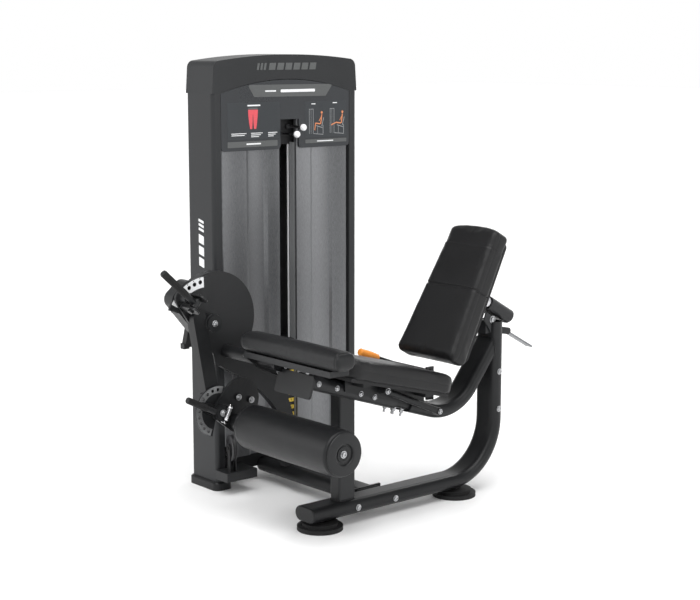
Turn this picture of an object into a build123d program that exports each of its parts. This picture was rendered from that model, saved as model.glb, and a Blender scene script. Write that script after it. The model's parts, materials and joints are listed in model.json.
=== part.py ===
from build123d import *
import os
from math import cos, hypot, radians, sin, tan

# Seated leg extension machine with a weight-stack tower.
# Millimetres. Z is up, the floor is z = 0. The user faces -Y.
# The origin is under the front levelling foot, on the seat's centre plane.

# ---- tower -------------------------------------------------------------
TOWER_X = (-725, -569)
TOWER_Y = (0, 640)
TOWER_MID_X = sum(TOWER_X) / 2
STACK_Y = 328
COLUMN = 34
COLUMN_WALL = 3
COLUMN_TOP = 1384
FOOT_HEIGHT = 30
BASE_BEAM_Z = (50, 100)
BEAM_X = (-690, -604)
TOP_BEAM_HEIGHT = 40
CAP_WALL = 4
ARCH_PEAK = 1430
SLOT_Y = (290, 366)
SHROUD_Z = (104, 1380)
SHROUD_FACE_X = -577
SHEET = 3
PANEL_BOTTOM = 1187
PANEL_NOTCH_TOP = 1290

# ---- weight stack ------------------------------------------------------
PLATE = (106, 420, 25)
PLATE_PITCH = 26
STACK_BASE = 130
RESTING = 9
LIFTED = 4
TOP_PLATE = 32
ROD_RADIUS = 12.5
ROD_SPREAD = 150
SELECTOR_RADIUS = 11
PIN_RADIUS = 4.5
STEM_TOP = 540
ADDON_KNOBS = {"upper": (354, 1262), "lower": (325, 1239)}
ADDON_PLATE_X = (-616, -612)

# ---- cable and pulleys -------------------------------------------------
CABLE_RADIUS = 3
CABLE_GAP = 0.3
CAM_X = -484
CAM_RADIUS = 95
CAM_WIDTH = 22
CABLE_SHIFT = 6
CABLE_FRONT_Y = 12
CABLE_REAR_Y = 84
CABLE_LOW_Z = 120
CABLE_HIGH_Z = 1345
RISER_X = -675
PULLEY_RADIUS = 42
PULLEY_WIDTH = 14
AXLE_RADIUS = 6
RUNNING = 0.05

# ---- knee pivot, cover and swing arm -----------------------------------
PIVOT = (-170, 650)
SHAFT_RADIUS = 15
BEARING_RADIUS = 24
BEARING_WIDTH = 11
COVER_X = (-470, -440)
COVER_CENTRE = (-91, 641)
COVER_RADIUS = 162
SECTOR_X = (-432, -385)
SECTOR_PLATE = 8
SECTOR_RADIUS = 150
HOLE_CIRCLE = 133
PIN_ANGLE = 138
HOLE_STEP = 10
ARM_X = (-381, -341)
ARM_WIDTH = 50
HUB_RADIUS = 28
HUB_END_X = -330
ARM_FOOT = (-163, 355)
LOWER_SECTOR_RADIUS = 85
LOWER_HOLE_CIRCLE = 72
PIN_GAP = 1.0
ROLLER_AXIS = (-100, 313)
ROLLER_RADIUS = 75
ROLLER_X = (-240, 246)
ROLLER_AXLE = 12
HANDLE_PIVOT = (-254, 725)
HANDLE_TIP = (-377, 838)
HANDLE_X = -318
SHIN_HANDLE_ROOT = (-196, 364)
SHIN_HANDLE_TIP = (-304, 419)

# ---- seat frame --------------------------------------------------------
TUBE = (100, 50)
WALL = 3
FOOT_BAR_Z = 59
BEND = 200
POST_Y = 768
POST_TOP = 600
FOOT_BAR_FRONT = -57
END_CAP = 7
SEAT_TILT = 18
SEAT_TUBE_START = (-59.4, 498.8)
SEAT_TUBE_LENGTH = 364
SEAT_JOINT_LENGTH = 78
STAY_CORNER = (575, 293)
STAY_RISE = 51.4
STAY_BEND = 170
CUSHION_TILT = 14.7
CUSHION_TOP = (0, 588)
CUSHION = (360, 455, 62)
BOARD = 12
KNEE_ROLL = (500, 80, 66)
KNEE_ROLL_CENTRE = (-95, 600)
SEAT_LEVER_PIVOT = (500, 450)
SEAT_LEVER_X = -202
SEAT_LEVER_TIP = (424, 479)

# ---- backrest ----------------------------------------------------------
RECLINE = 29.7
PAD_BOTTOM = (450, 523)
PAD_LENGTH = 481
PAD_CROWN = 22
PAD_WIDTH = (290, 232)
PAD_THICK = 68
SLEEVE_CENTRE = (785, 637)
SLEEVE = (90, 50, 120)
SLEEVE_WALL = 4
LEVER_PIVOT = (836, 556)
LEVER_LENGTH = 152

os.makedirs("parts", exist_ok=True)


# ---- helpers -----------------------------------------------------------
def yz(x):
    """Sketch plane across the machine at x: sketch x is +Y, sketch y is +Z."""
    return Plane.YZ.offset(x)


def block(x, y, z, mode=Mode.ADD):
    """Box between two limits on each axis."""
    sizes = [high - low for low, high in (x, y, z)]
    middle = [(high + low) / 2 for low, high in (x, y, z)]
    with Locations(tuple(middle)):
        Box(*sizes, mode=mode)


def rod(start, direction, radius, length, mode=Mode.ADD):
    """Cylinder from a start point along a direction."""
    with BuildSketch(Plane(origin=start, z_dir=direction)) as profile:
        Circle(radius)
    extrude(profile.sketch, amount=length, mode=mode)


def rod_x(x, place, radius, mode=Mode.ADD):
    """Cylinder along X between two x values, at a (y, z) place."""
    rod((x[0], place[0], place[1]), (1, 0, 0), radius, x[1] - x[0], mode)


def plate_yz(points, x, corner=0, mode=Mode.ADD):
    """Plate with a (y, z) outline, between two x values."""
    with BuildSketch(yz(x[0])) as outline:
        with BuildLine():
            Polyline(*points, close=True)
        make_face()
        if corner:
            fillet(outline.vertices(), corner)
    extrude(outline.sketch, amount=x[1] - x[0], mode=mode)


def hull_yz(circles, x, mode=Mode.ADD):
    """Plate that wraps a run of (y, z, radius) circles, two at a time."""
    for first, second in zip(circles, circles[1:]):
        with BuildSketch(yz(x[0])) as outline:
            for y, z, radius in (first, second):
                with Locations((y, z)):
                    Circle(radius)
            make_hull()
        extrude(outline.sketch, amount=x[1] - x[0], mode=mode)


def tilted(place, tilt, x=0):
    """Plane whose normal runs along +Y, dipping by tilt degrees."""
    normal = (0, cos(radians(tilt)), -sin(radians(tilt)))
    return Plane(origin=(x, place[0], place[1]), x_dir=(1, 0, 0), z_dir=normal)


def along(place, tilt, distance, rise=0):
    """The (y, z) point a distance down a tilted line, raised square to it."""
    c, s = cos(radians(tilt)), sin(radians(tilt))
    return (place[0] + distance * c + rise * s, place[1] - distance * s + rise * c)


def polar(centre, radius, angle):
    """The (y, z) point at an angle from +Y about a centre."""
    return (centre[0] + radius * cos(radians(angle)), centre[1] + radius * sin(radians(angle)))


def save(builder, name):
    builder.part.label = name
    export_step(builder.part, f"parts/{name}.step")


# ---- tower -------------------------------------------------------------
def make_tower_base():
    foot = (171, 73)
    with BuildPart() as tower_base:
        for y in (26.5, TOWER_Y[1] - 26.5):
            with BuildSketch(Plane.XY):
                with Locations((TOWER_MID_X, y)):
                    RectangleRounded(*foot, 22)
            extrude(amount=FOOT_HEIGHT)
        chamfer(tower_base.faces().sort_by(Axis.Z)[-2:].edges(), 5)
        block(BEAM_X, (COLUMN, TOWER_Y[1] - COLUMN), BASE_BEAM_Z)
        for y in ((COLUMN, 60), (TOWER_Y[1] - 60, TOWER_Y[1] - COLUMN)):
            block(BEAM_X, y, (FOOT_HEIGHT - 2, BASE_BEAM_Z[0]))
        block((BEAM_X[1], -490), (45, 115), (48, 80))
        block((-562, -490), (-14, 115), (48, 80))
    return tower_base


def make_column(y, outer_side):
    """Hollow D-section column, rounded on its outer side."""
    with BuildPart() as column:
        with BuildSketch(Plane.XY.offset(FOOT_HEIGHT)) as section:
            with Locations((TOWER_MID_X, y + COLUMN / 2)):
                Rectangle(TOWER_X[1] - TOWER_X[0], COLUMN)
            corners = section.vertices().sort_by(Axis.Y)
            fillet(corners[:2] if outer_side < 0 else corners[-2:], 15)
            offset(amount=-COLUMN_WALL, mode=Mode.SUBTRACT)
        extrude(amount=COLUMN_TOP - FOOT_HEIGHT)
    return column


def make_tower_top_beam():
    low, high = COLUMN_TOP, COLUMN_TOP + TOP_BEAM_HEIGHT
    with BuildPart() as tower_top_beam:
        block(BEAM_X, (8, TOWER_Y[1] - 8), (low, high))
        inner = (BEAM_X[0] + 4, BEAM_X[1] - 4)
        block(inner, (8, TOWER_Y[1] - 8), (low + 4, high - 4), Mode.SUBTRACT)
    return tower_top_beam


def arch(side_gap, peak, bottom):
    """Outline with a gently arched top, between the two columns."""
    left, right = COLUMN + side_gap, TOWER_Y[1] - COLUMN - side_gap
    with BuildLine() as outline:
        Line((left, COLUMN_TOP), (left, bottom))
        Line((left, bottom), (right, bottom))
        Line((right, bottom), (right, COLUMN_TOP))
        ThreePointArc((right, COLUMN_TOP), ((left + right) / 2, peak), (left, COLUMN_TOP))
    make_face(outline.edges())


def cap_outline(inset):
    """Side outline of the tower's cover, with a crowned top."""
    low, high = TOWER_Y[0] + inset, TOWER_Y[1] - inset
    with BuildLine() as outline:
        Line((low, COLUMN_TOP), (low + 6, 1470 - inset))
        ThreePointArc((low + 6, 1470 - inset), (low + 12, 1486 - inset), (low + 28, 1495 - inset))
        ThreePointArc((low + 28, 1495 - inset), (320, 1515 - inset), (high - 28, 1498 - inset))
        ThreePointArc((high - 28, 1498 - inset), (high - 12, 1488 - inset), (high - 6, 1470 - inset))
        Line((high - 6, 1470 - inset), (high, COLUMN_TOP))
        Line((high, COLUMN_TOP), (low, COLUMN_TOP))
    make_face(outline.edges())


def make_tower_cap():
    with BuildPart() as tower_cap:
        with BuildSketch(yz(TOWER_X[0])):
            cap_outline(0)
        extrude(amount=TOWER_X[1] - TOWER_X[0])
        with BuildSketch(yz(TOWER_X[0] + CAP_WALL)):
            cap_outline(CAP_WALL)
        extrude(amount=TOWER_X[1] - TOWER_X[0] - 2 * CAP_WALL, mode=Mode.SUBTRACT)
        with BuildSketch(yz(TOWER_X[1] - CAP_WALL)):
            arch(0.5, ARCH_PEAK, COLUMN_TOP - 20)
        extrude(amount=CAP_WALL, mode=Mode.SUBTRACT)
    return tower_cap


def make_display_panel():
    """Instruction panel with its sides down past the stack's slot."""
    with BuildPart() as display_panel:
        with BuildSketch(yz(-574)) as outline:
            arch(1.5, ARCH_PEAK - 2, PANEL_BOTTOM)
            with Locations(((SLOT_Y[0] + SLOT_Y[1]) / 2 + 4, PANEL_BOTTOM)):
                notch = 2 * (PANEL_NOTCH_TOP - PANEL_BOTTOM)
                Rectangle(SLOT_Y[1] - SLOT_Y[0] + 6, notch, mode=Mode.SUBTRACT)
            fillet(outline.vertices().group_by(Axis.Y)[0], 14)
        extrude(amount=4.5)
    return display_panel


def make_shroud(front_line, slot_y):
    """Folded sheet guard: (y, x) points of its front face, and its edge at the slot."""
    with BuildPart() as shroud:
        with BuildSketch(Plane.XY.offset(SHROUD_Z[0])):
            with BuildLine():
                front = [(x, y) for y, x in front_line]
                back = [(x - SHEET, y) for y, x in reversed(front_line)]
                Polyline(*front, *back, close=True)
            make_face()
        extrude(amount=SHROUD_Z[1] - SHROUD_Z[0])
        block((SHROUD_FACE_X - 15, SHROUD_FACE_X - 1), slot_y, SHROUD_Z)
    return shroud


def make_shroud_front():
    face = SHROUD_FACE_X
    line = [(36, face - 6), (44, face), (146, face), (160, face - 8), (224, face - 8)]
    line += [(238, face), (SLOT_Y[0], face)]
    shroud = make_shroud(line, (SLOT_Y[0] - SHEET, SLOT_Y[0]))
    with shroud:
        block((-600, -560), (30, 84), (SHROUD_Z[0] - 1, 150), Mode.SUBTRACT)
    return shroud


def make_shroud_rear():
    face = SHROUD_FACE_X
    line = [(SLOT_Y[1], face), (430, face), (440, face - 5), (520, face - 5), (530, face)]
    line += [(596, face), (604, face - 6)]
    return make_shroud(line, (SLOT_Y[1], SLOT_Y[1] + SHEET))


def make_shroud_outer():
    with BuildPart() as shroud_outer:
        block((-723, -720), (36, 604), SHROUD_Z)
        for y in (140, 260, 380, 500):
            block((-720, -716), (y - 12, y + 12), (SHROUD_Z[0] + 20, SHROUD_Z[1] - 20))
    return shroud_outer


# ---- weight stack ------------------------------------------------------
def rod_places():
    return [(TOWER_MID_X, STACK_Y + side * ROD_SPREAD) for side in (-1, 1)]


def make_guide_rods():
    with BuildPart() as guide_rods:
        for x, y in rod_places():
            rod((x, y, BASE_BEAM_Z[1]), (0, 0, 1), ROD_RADIUS, COLUMN_TOP - BASE_BEAM_Z[1])
    return guide_rods


def make_stack_bumpers():
    with BuildPart() as stack_bumpers:
        for x, y in rod_places():
            with BuildSketch(Plane.XY.offset(BASE_BEAM_Z[1])):
                with Locations((x, y)):
                    Circle(26)
                    Circle(ROD_RADIUS + 0.4, mode=Mode.SUBTRACT)
            extrude(amount=STACK_BASE - BASE_BEAM_Z[1])
    return stack_bumpers


def plate_holes(base, height):
    """Guide, selector and pin holes of one plate."""
    for x, y in rod_places():
        rod((x, y, base - 1), (0, 0, 1), ROD_RADIUS + 1.5, height + 2, Mode.SUBTRACT)
    rod((TOWER_MID_X, STACK_Y, base - 1), (0, 0, 1), SELECTOR_RADIUS + 3, height + 2, Mode.SUBTRACT)


def make_weight_plates(first, count):
    with BuildPart() as plates:
        for index in range(first, first + count):
            base = STACK_BASE + index * PLATE_PITCH
            with Locations((TOWER_MID_X, STACK_Y, base + PLATE[2] / 2)):
                Box(*PLATE)
            plate_holes(base, PLATE[2])
            pin_start = (TOWER_MID_X, STACK_Y, base + PLATE[2] / 2)
            rod(pin_start, (1, 0, 0), PIN_RADIUS + 1.5, PLATE[0], Mode.SUBTRACT)
    return plates


def top_plate_base():
    return STACK_BASE + (RESTING + LIFTED) * PLATE_PITCH


def make_top_plate():
    """Head plate of the stack, with the drilled selector rod under it."""
    base = top_plate_base()
    with BuildPart() as top_plate:
        with Locations((TOWER_MID_X, STACK_Y, base + TOP_PLATE / 2)):
            Box(PLATE[0], PLATE[1], TOP_PLATE)
        for x, y in rod_places():
            rod((x, y, base - 1), (0, 0, 1), ROD_RADIUS + 1.5, TOP_PLATE + 2, Mode.SUBTRACT)
        rod((TOWER_MID_X, STACK_Y, STACK_BASE + 10), (0, 0, 1), SELECTOR_RADIUS, STEM_TOP - STACK_BASE - 10)
        for index in range(RESTING + LIFTED):
            height = STACK_BASE + index * PLATE_PITCH + PLATE[2] / 2
            if index:
                hole_start = (TOWER_MID_X - 20, STACK_Y, height)
                rod(hole_start, (1, 0, 0), PIN_RADIUS + 0.5, 40, Mode.SUBTRACT)
    return top_plate


def make_selector_pin():
    height = STACK_BASE + RESTING * PLATE_PITCH + PLATE[2] / 2
    with BuildPart() as selector_pin:
        rod((TOWER_MID_X - 12, STACK_Y, height), (1, 0, 0), PIN_RADIUS, 68)
        rod((-592, STACK_Y, height), (1, 0, 0), 12, 34)
        fillet(selector_pin.edges().filter_by(GeomType.CIRCLE).sort_by(Axis.X)[-1], 4)
    return selector_pin


def make_addon_shelf():
    """Bracket clamped on the rear guide rod, carrying the two add-on weights."""
    with BuildPart() as addon_shelf:
        block(ADDON_PLATE_X, (300, 470), (1200, 1310))
        rear_rod = rod_places()[1]
        block((-668, -612), (452, 504), (1225, 1265))
        rod((rear_rod[0], rear_rod[1], 1220), (0, 0, 1), ROD_RADIUS + 0.1, 50, Mode.SUBTRACT)
        for place in ADDON_KNOBS.values():
            rod_x((ADDON_PLATE_X[0] - 1, -606), place, 10)
            rod_x((-630, -600), place, 5 + RUNNING, Mode.SUBTRACT)
        for z in (1205, 1287):
            block((-612, -604), (380, 440), (z, z + 18))
    return addon_shelf


def make_addon_knob(place):
    with BuildPart() as addon_knob:
        rod_x((-622, -520), place, 5)
        with Locations((-520, place[0], place[1])):
            Sphere(12)
    return addon_knob


# ---- cable and pulleys -------------------------------------------------
def cable_points():
    """Cable route: off the cam, round five pulleys, ending above the stack."""
    level = PIVOT[1] - CAM_RADIUS
    return [
        (CAM_X, PIVOT[0] - 4, level),
        (CAM_X, CABLE_FRONT_Y, level),
        (CAM_X + CABLE_SHIFT, CABLE_FRONT_Y, CABLE_LOW_Z),
        (RISER_X, CABLE_REAR_Y, CABLE_LOW_Z),
        (RISER_X, CABLE_REAR_Y, CABLE_HIGH_Z),
        (TOWER_MID_X, STACK_Y, CABLE_HIGH_Z),
        (TOWER_MID_X, STACK_Y, CABLE_HIGH_Z - PULLEY_RADIUS),
    ]


def pulley_plane(index):
    """Plane of the pulley in corner 0 to 4: its normal is the axle."""
    before, corner, after = (Vector(*p) for p in cable_points()[index:index + 3])
    incoming, outgoing = (corner - before).normalized(), (after - corner).normalized()
    turn = incoming.get_angle(outgoing)
    inward = (outgoing - incoming).normalized()
    centre = corner + inward * (PULLEY_RADIUS / cos(radians(turn) / 2))
    return Plane(origin=centre, x_dir=inward, z_dir=incoming.cross(outgoing))


def make_cable():
    with BuildPart() as cable:
        with BuildLine() as route:
            FilletPolyline(*cable_points(), radius=PULLEY_RADIUS - 0.2)
        with BuildSketch(Plane(origin=route.line @ 0, z_dir=route.line % 0)):
            Circle(CABLE_RADIUS)
        sweep(path=route.line)
    return cable


def make_stack_cable():
    top = cable_points()[-1]
    with BuildPart() as stack_cable:
        rod((top[0], top[1], STEM_TOP), (0, 0, 1), CABLE_RADIUS, top[2] - STEM_TOP)
    return stack_cable


def grooved_wheel(plane, radius, bore, width, mouth=5, flat=2.5):
    """Wheel about a plane's normal with a groove for the cable."""
    rim, floor = radius + 4, radius - CABLE_RADIUS - CABLE_GAP
    section = Plane(origin=plane.origin, x_dir=plane.x_dir, z_dir=plane.x_dir.cross(plane.z_dir))
    half = width / 2
    with BuildSketch(section) as profile:
        with BuildLine():
            Polyline(
                (bore, -half), (rim, -half), (rim, -mouth), (floor, -flat), (floor, flat),
                (rim, mouth), (rim, half), (bore, half), close=True,
            )
        make_face()
    revolve(profile.sketch, axis=Axis(plane.origin, plane.z_dir))


def make_pulley(index):
    plane = pulley_plane(index)
    with BuildPart() as pulley:
        grooved_wheel(plane, PULLEY_RADIUS, AXLE_RADIUS + RUNNING, PULLEY_WIDTH)
        for side in (-1, 1):
            with BuildSketch(plane.offset(side * PULLEY_WIDTH / 2)):
                Circle(PULLEY_RADIUS - 9)
                Circle(AXLE_RADIUS + 8, mode=Mode.SUBTRACT)
            extrude(amount=-side * 3, mode=Mode.SUBTRACT)
    return pulley


def bracket(index, toward, reach):
    """Two cheeks and an axle that hold a pulley, from its centre toward a direction."""
    plane = pulley_plane(index)
    half = PULLEY_WIDTH / 2 + 1.5
    local = Plane(origin=plane.origin, x_dir=toward, z_dir=plane.z_dir)
    for side in (-1, 1):
        start = local.offset(side * half)
        with BuildSketch(start) as cheek:
            with Locations((reach / 2, 0)):
                SlotOverall(reach + 30, 30)
        extrude(cheek.sketch, amount=side * 4)
    rod(local.offset(-half - 8).origin, plane.z_dir, AXLE_RADIUS, 2 * half + 16)


def make_pulley_brackets():
    with BuildPart() as pulley_brackets:
        down = Vector(0, 0, -1)
        normal = pulley_plane(1).z_dir
        bracket(1, down - normal * down.dot(normal), 84)
        bracket(2, (0, 0, -1), 84)
        block((-700, -460), (-60, 200), (0, BASE_BEAM_Z[0] + 30), Mode.SUBTRACT)
        block((BEAM_X[0], BEAM_X[1]), (40, 130), (70, BASE_BEAM_Z[1]), Mode.SUBTRACT)
        for index in (3, 4):
            bracket(index, (0, 0, 1), 70)
            x, y, z = pulley_plane(index).origin
            block((x - 24, x + 24), (y - 20, y + 20), (COLUMN_TOP - 6, COLUMN_TOP))
        block((-720, -560), (34, 500), (COLUMN_TOP, 1460), Mode.SUBTRACT)
        idler, cover_back = pulley_plane(0), COVER_X[1] - 5
        for start, radius in ((PULLEY_WIDTH / 2 + 6, AXLE_RADIUS), (-PULLEY_WIDTH / 2 - 1, 14)):
            rod(idler.offset(start).origin, -idler.z_dir, radius, start + cover_back - CAM_X + 2)
        block((cover_back, cover_back + 20), (-60, 60), (480, 580), Mode.SUBTRACT)
    return pulley_brackets


# ---- knee pivot --------------------------------------------------------
def tusk(inset):
    """Curved leg of the pivot column, from the round cover down to the floor tube."""
    outer = [(60, 585), (135, 478), (189, 391), (222, 312), (247, 230), (262, 80)]
    inner = [(200, 80), (192, 215), (172, 280), (137, 327), (78, 383), (9, 430), (-75, 482), (-135, 560)]
    outer = [(y - inset, z) for y, z in outer]
    inner = [(y + inset, z + inset * 0.6) for y, z in inner]
    outer[-1] = (outer[-1][0], 80)
    inner[0] = (inner[0][0], 80)
    with BuildLine() as outline:
        Spline(*outer)
        Line(outer[-1], inner[0])
        Spline(*inner)
        Line(inner[-1], outer[0])
    make_face(outline.edges())


def make_pivot_column():
    """Pan-shaped column: a face with deep walls, open towards the tower."""
    wall = 5
    open_side = [(-400, 870), (-300, 742), (-210, 633), (-196, 606), (-140, 596), (-100, 520)]
    open_side += [(-92, 484), (-120, 440), (-400, 440)]
    with BuildPart() as pivot_column:
        hollow = (COVER_X[0], COVER_X[1] - wall)
        for inset, x, mode in ((0, COVER_X, Mode.ADD), (wall, hollow, Mode.SUBTRACT)):
            with BuildSketch(yz(x[0])):
                tusk(inset)
                with Locations(COVER_CENTRE):
                    Circle(COVER_RADIUS - inset)
            extrude(amount=x[1] - x[0], mode=mode)
        plate_yz(open_side, (COVER_X[0] - 1, COVER_X[1] + 1), mode=Mode.SUBTRACT)
        rod_x(COVER_X, PIVOT, BEARING_RADIUS + 6)
        rod_x(COVER_X, PIVOT, BEARING_RADIUS, Mode.SUBTRACT)
        with BuildSketch(yz(COVER_X[1])):
            groove = CenterArc(COVER_CENTRE, COVER_RADIUS - 12, -22, 118)
            SlotArc(groove, 5)
        extrude(amount=-2.5, mode=Mode.SUBTRACT)
    return pivot_column


def make_pivot_bearings():
    with BuildPart() as pivot_bearings:
        rod_x(COVER_X, PIVOT, BEARING_RADIUS)
        rod_x(COVER_X, PIVOT, SHAFT_RADIUS + RUNNING, Mode.SUBTRACT)
        middle = (COVER_X[0] + BEARING_WIDTH, COVER_X[1] - BEARING_WIDTH)
        rod_x(middle, PIVOT, BEARING_RADIUS - 3, Mode.SUBTRACT)
    return pivot_bearings


def make_main_shaft():
    with BuildPart() as main_shaft:
        rod_x((CAM_X - CAM_WIDTH / 2 - 3, ARM_X[1] + 2), PIVOT, SHAFT_RADIUS)
    return main_shaft


def make_drive_cam():
    """Quarter of a grooved wheel that winds the cable, with the anchor that holds its end."""
    side = (CAM_X - CAM_WIDTH / 2, CAM_X + CAM_WIDTH / 2)
    reach = CAM_RADIUS + 20
    with BuildPart() as drive_cam:
        plane = Plane(origin=(CAM_X, PIVOT[0], PIVOT[1]), x_dir=(0, 0, 1), z_dir=(1, 0, 0))
        grooved_wheel(plane, CAM_RADIUS, SHAFT_RADIUS, CAM_WIDTH, 8.5, 5)
        upper = [(PIVOT[0] - reach, PIVOT[1]), (PIVOT[0] + reach, PIVOT[1])]
        upper += [(PIVOT[0] + reach, PIVOT[1] + reach), (PIVOT[0] - reach, PIVOT[1] + reach)]
        plate_yz(upper, (side[0] - 1, side[1] + 1), mode=Mode.SUBTRACT)
        left = [PIVOT, (PIVOT[0] - reach, PIVOT[1]), (PIVOT[0] - reach, PIVOT[1] - reach)]
        left += [(PIVOT[0] - 26, PIVOT[1] - reach)]
        plate_yz(left, (side[0] - 1, side[1] + 1), mode=Mode.SUBTRACT)
        rod_x(side, PIVOT, SHAFT_RADIUS + 12)
        anchor = (PIVOT[0] - 26, PIVOT[0] - 4.5)
        level = PIVOT[1] - CAM_RADIUS
        block(side, anchor, (level - 9, level + 9))
        rod_x((side[0] - 1, side[1] + 1), PIVOT, SHAFT_RADIUS, Mode.SUBTRACT)
        rod_x((side[0] - 1, side[1] + 1), (PIVOT[0] + 36, PIVOT[1] - 36), 15, Mode.SUBTRACT)
    return drive_cam


def make_start_sector():
    """Thick counter arm on the shaft, with the drilled plate that sets the start angle."""
    reach, half = 156, 54
    with BuildPart() as start_sector:
        with BuildSketch(yz(SECTOR_X[0])) as arm:
            with Locations(Location((PIVOT[0], PIVOT[1]), 130)):
                with Locations((reach / 2 - 12, 0)):
                    RectangleRounded(reach + 24, 2 * half, 30)
        extrude(amount=SECTOR_X[1] - SECTOR_X[0])
        with BuildSketch(yz(SECTOR_X[1] - SECTOR_PLATE)):
            with BuildLine():
                start, end = polar(PIVOT, SECTOR_RADIUS, 84), polar(PIVOT, SECTOR_RADIUS, 160)
                Line(PIVOT, start)
                ThreePointArc(start, polar(PIVOT, SECTOR_RADIUS, 122), end)
                Line(end, PIVOT)
            make_face()
        extrude(amount=SECTOR_PLATE)
        rod_x(SECTOR_X, PIVOT, SHAFT_RADIUS, Mode.SUBTRACT)
        for step in range(5):
            place = polar(PIVOT, HOLE_CIRCLE, PIN_ANGLE - step * HOLE_STEP)
            rod_x((SECTOR_X[1] - 16, SECTOR_X[1]), place, 6, Mode.SUBTRACT)
    return start_sector


PIN_PLACE = polar(PIVOT, HOLE_CIRCLE, PIN_ANGLE)


def make_swing_arm():
    """Arm from the knee hub down to the roller's joint, with its drilled sector."""
    with BuildPart() as swing_arm:
        rod_x((ARM_X[0], HUB_END_X), PIVOT, HUB_RADIUS)
        hull_yz([(PIVOT[0], PIVOT[1], 32), (-222, 676, 30), (*PIN_PLACE, 26)], (ARM_X[0], ARM_X[0] + 10))
        with BuildSketch(yz(ARM_X[0])):
            with Locations((-222, 672), (-176, 418)):
                Circle(ARM_WIDTH / 2)
            make_hull()
        extrude(amount=ARM_X[1] - ARM_X[0])
        hull_yz([(-176, 418, 25), (*ARM_FOOT, 30)], (ARM_X[0], ARM_X[1]))
        with BuildSketch(yz(ARM_X[1])):
            with BuildLine():
                first = polar(ARM_FOOT, LOWER_SECTOR_RADIUS, 68)
                last = polar(ARM_FOOT, LOWER_SECTOR_RADIUS, 256)
                Line(ARM_FOOT, first)
                ThreePointArc(first, polar(ARM_FOOT, LOWER_SECTOR_RADIUS, 162), last)
                Line(last, ARM_FOOT)
            make_face()
        extrude(amount=6)
        for step in range(-5, 6):
            place = polar(ARM_FOOT, LOWER_HOLE_CIRCLE, 155 + step * HOLE_STEP * 1.7)
            rod_x((ARM_X[0] - 1, ARM_X[1] + 8), place, 5.2, Mode.SUBTRACT)
        rod_x((ARM_X[1], -304), ARM_FOOT, ROLLER_AXLE)
        rod_x((ARM_X[0] - 1, ARM_X[1] + 3), PIVOT, SHAFT_RADIUS + RUNNING, Mode.SUBTRACT)
        rod_x((ARM_X[0] - 1, ARM_X[0] + 11), PIN_PLACE, 5 + RUNNING, Mode.SUBTRACT)
    return swing_arm


def handle_axis():
    """Unit (y, z) direction across the start handle: its hinge line."""
    y, z = HANDLE_TIP[0] - HANDLE_PIVOT[0], HANDLE_TIP[1] - HANDLE_PIVOT[1]
    size = hypot(y, z)
    return (z / size, -y / size)


def make_arm_clevis():
    """Guide for the start pin, and two ears with the bolts that the handle turns on."""
    across = handle_axis()
    with BuildPart() as arm_clevis:
        rod_x((ARM_X[0] + 10, ARM_X[1] + 4), PIN_PLACE, 14)
        rod_x((ARM_X[0] + 9, ARM_X[1] + 5), PIN_PLACE, 5 + RUNNING, Mode.SUBTRACT)
        for side in (-1, 1):
            y, z = (HANDLE_PIVOT[i] + side * 24 * across[i] for i in (0, 1))
            ear = Plane(origin=(0, y, z), x_dir=(1, 0, 0), z_dir=(0, *across))
            with BuildSketch(ear.offset(-3)):
                with Locations((HANDLE_X - 10, 0)):
                    SlotOverall(90, 34)
            extrude(amount=6)
            bolt = Vector(HANDLE_X, y, z) - Vector(0, *across) * 9
            rod(bolt, (0, *across), 6, 18)
            head = Vector(HANDLE_X, y, z) + Vector(0, *across) * side * 3
            rod(head, (0, side * across[0], side * across[1]), 10, 7)
        block((ARM_X[0] - 20, ARM_X[0] + 10), (-400, -100), (600, 900), Mode.SUBTRACT)
        rod_x((ARM_X[0] + 9, ARM_X[1] + 5), PIN_PLACE, 5 + RUNNING, Mode.SUBTRACT)
    return arm_clevis


def make_start_handle():
    """Pull handle: a fork eye between the clevis ears and a long round grip."""
    across = handle_axis()
    direction = (0, -across[1], across[0])
    with BuildPart() as start_handle:
        centre = Vector(HANDLE_X, *HANDLE_PIVOT)
        rod(centre - Vector(0, *across) * 14, (0, *across), 13, 28)
        rod(centre, direction, 10.5, 167)
        for side in (-1, 1):
            start = centre + Vector(0, *across) * side * 14.5
            rod(start, (0, -side * across[0], -side * across[1]), 6 + RUNNING, 8, Mode.SUBTRACT)
    return start_handle


def make_start_pin():
    with BuildPart() as start_pin:
        rod_x((SECTOR_X[1] + PIN_GAP, -334.5), PIN_PLACE, 5)
        rod_x((-336.5, -334.5), PIN_PLACE, 8)
    return start_pin


def make_roller_arm():
    """Rounded plate on the arm's foot axle, carrying the roller's long axle."""
    with BuildPart() as roller_arm:
        hull_yz([(*ARM_FOOT, 28), (-78, 384, 74), (*ROLLER_AXIS, 34)], (-330, -318))
        hull_yz([(*ARM_FOOT, 28), (*ROLLER_AXIS, 34)], (-330, -318))
        rod_x((-334, -306), ARM_FOOT, 24)
        rod_x((-330, -262), ROLLER_AXIS, 26)
        rod_x((-330, ROLLER_X[1] - 8), ROLLER_AXIS, ROLLER_AXLE)
        for place in ((-92, 396), (-40, 380)):
            rod_x((-318, -310), place, 11)
        hull_yz([(*ARM_FOOT, 20), (-226, 382, 14)], (-330, -322))
        rod_x((-336, -302), ARM_FOOT, ROLLER_AXLE + RUNNING, Mode.SUBTRACT)
        rod_x((-334, -318), polar(ARM_FOOT, LOWER_HOLE_CIRCLE, 155), 5.2 + RUNNING, Mode.SUBTRACT)
    return roller_arm


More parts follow.
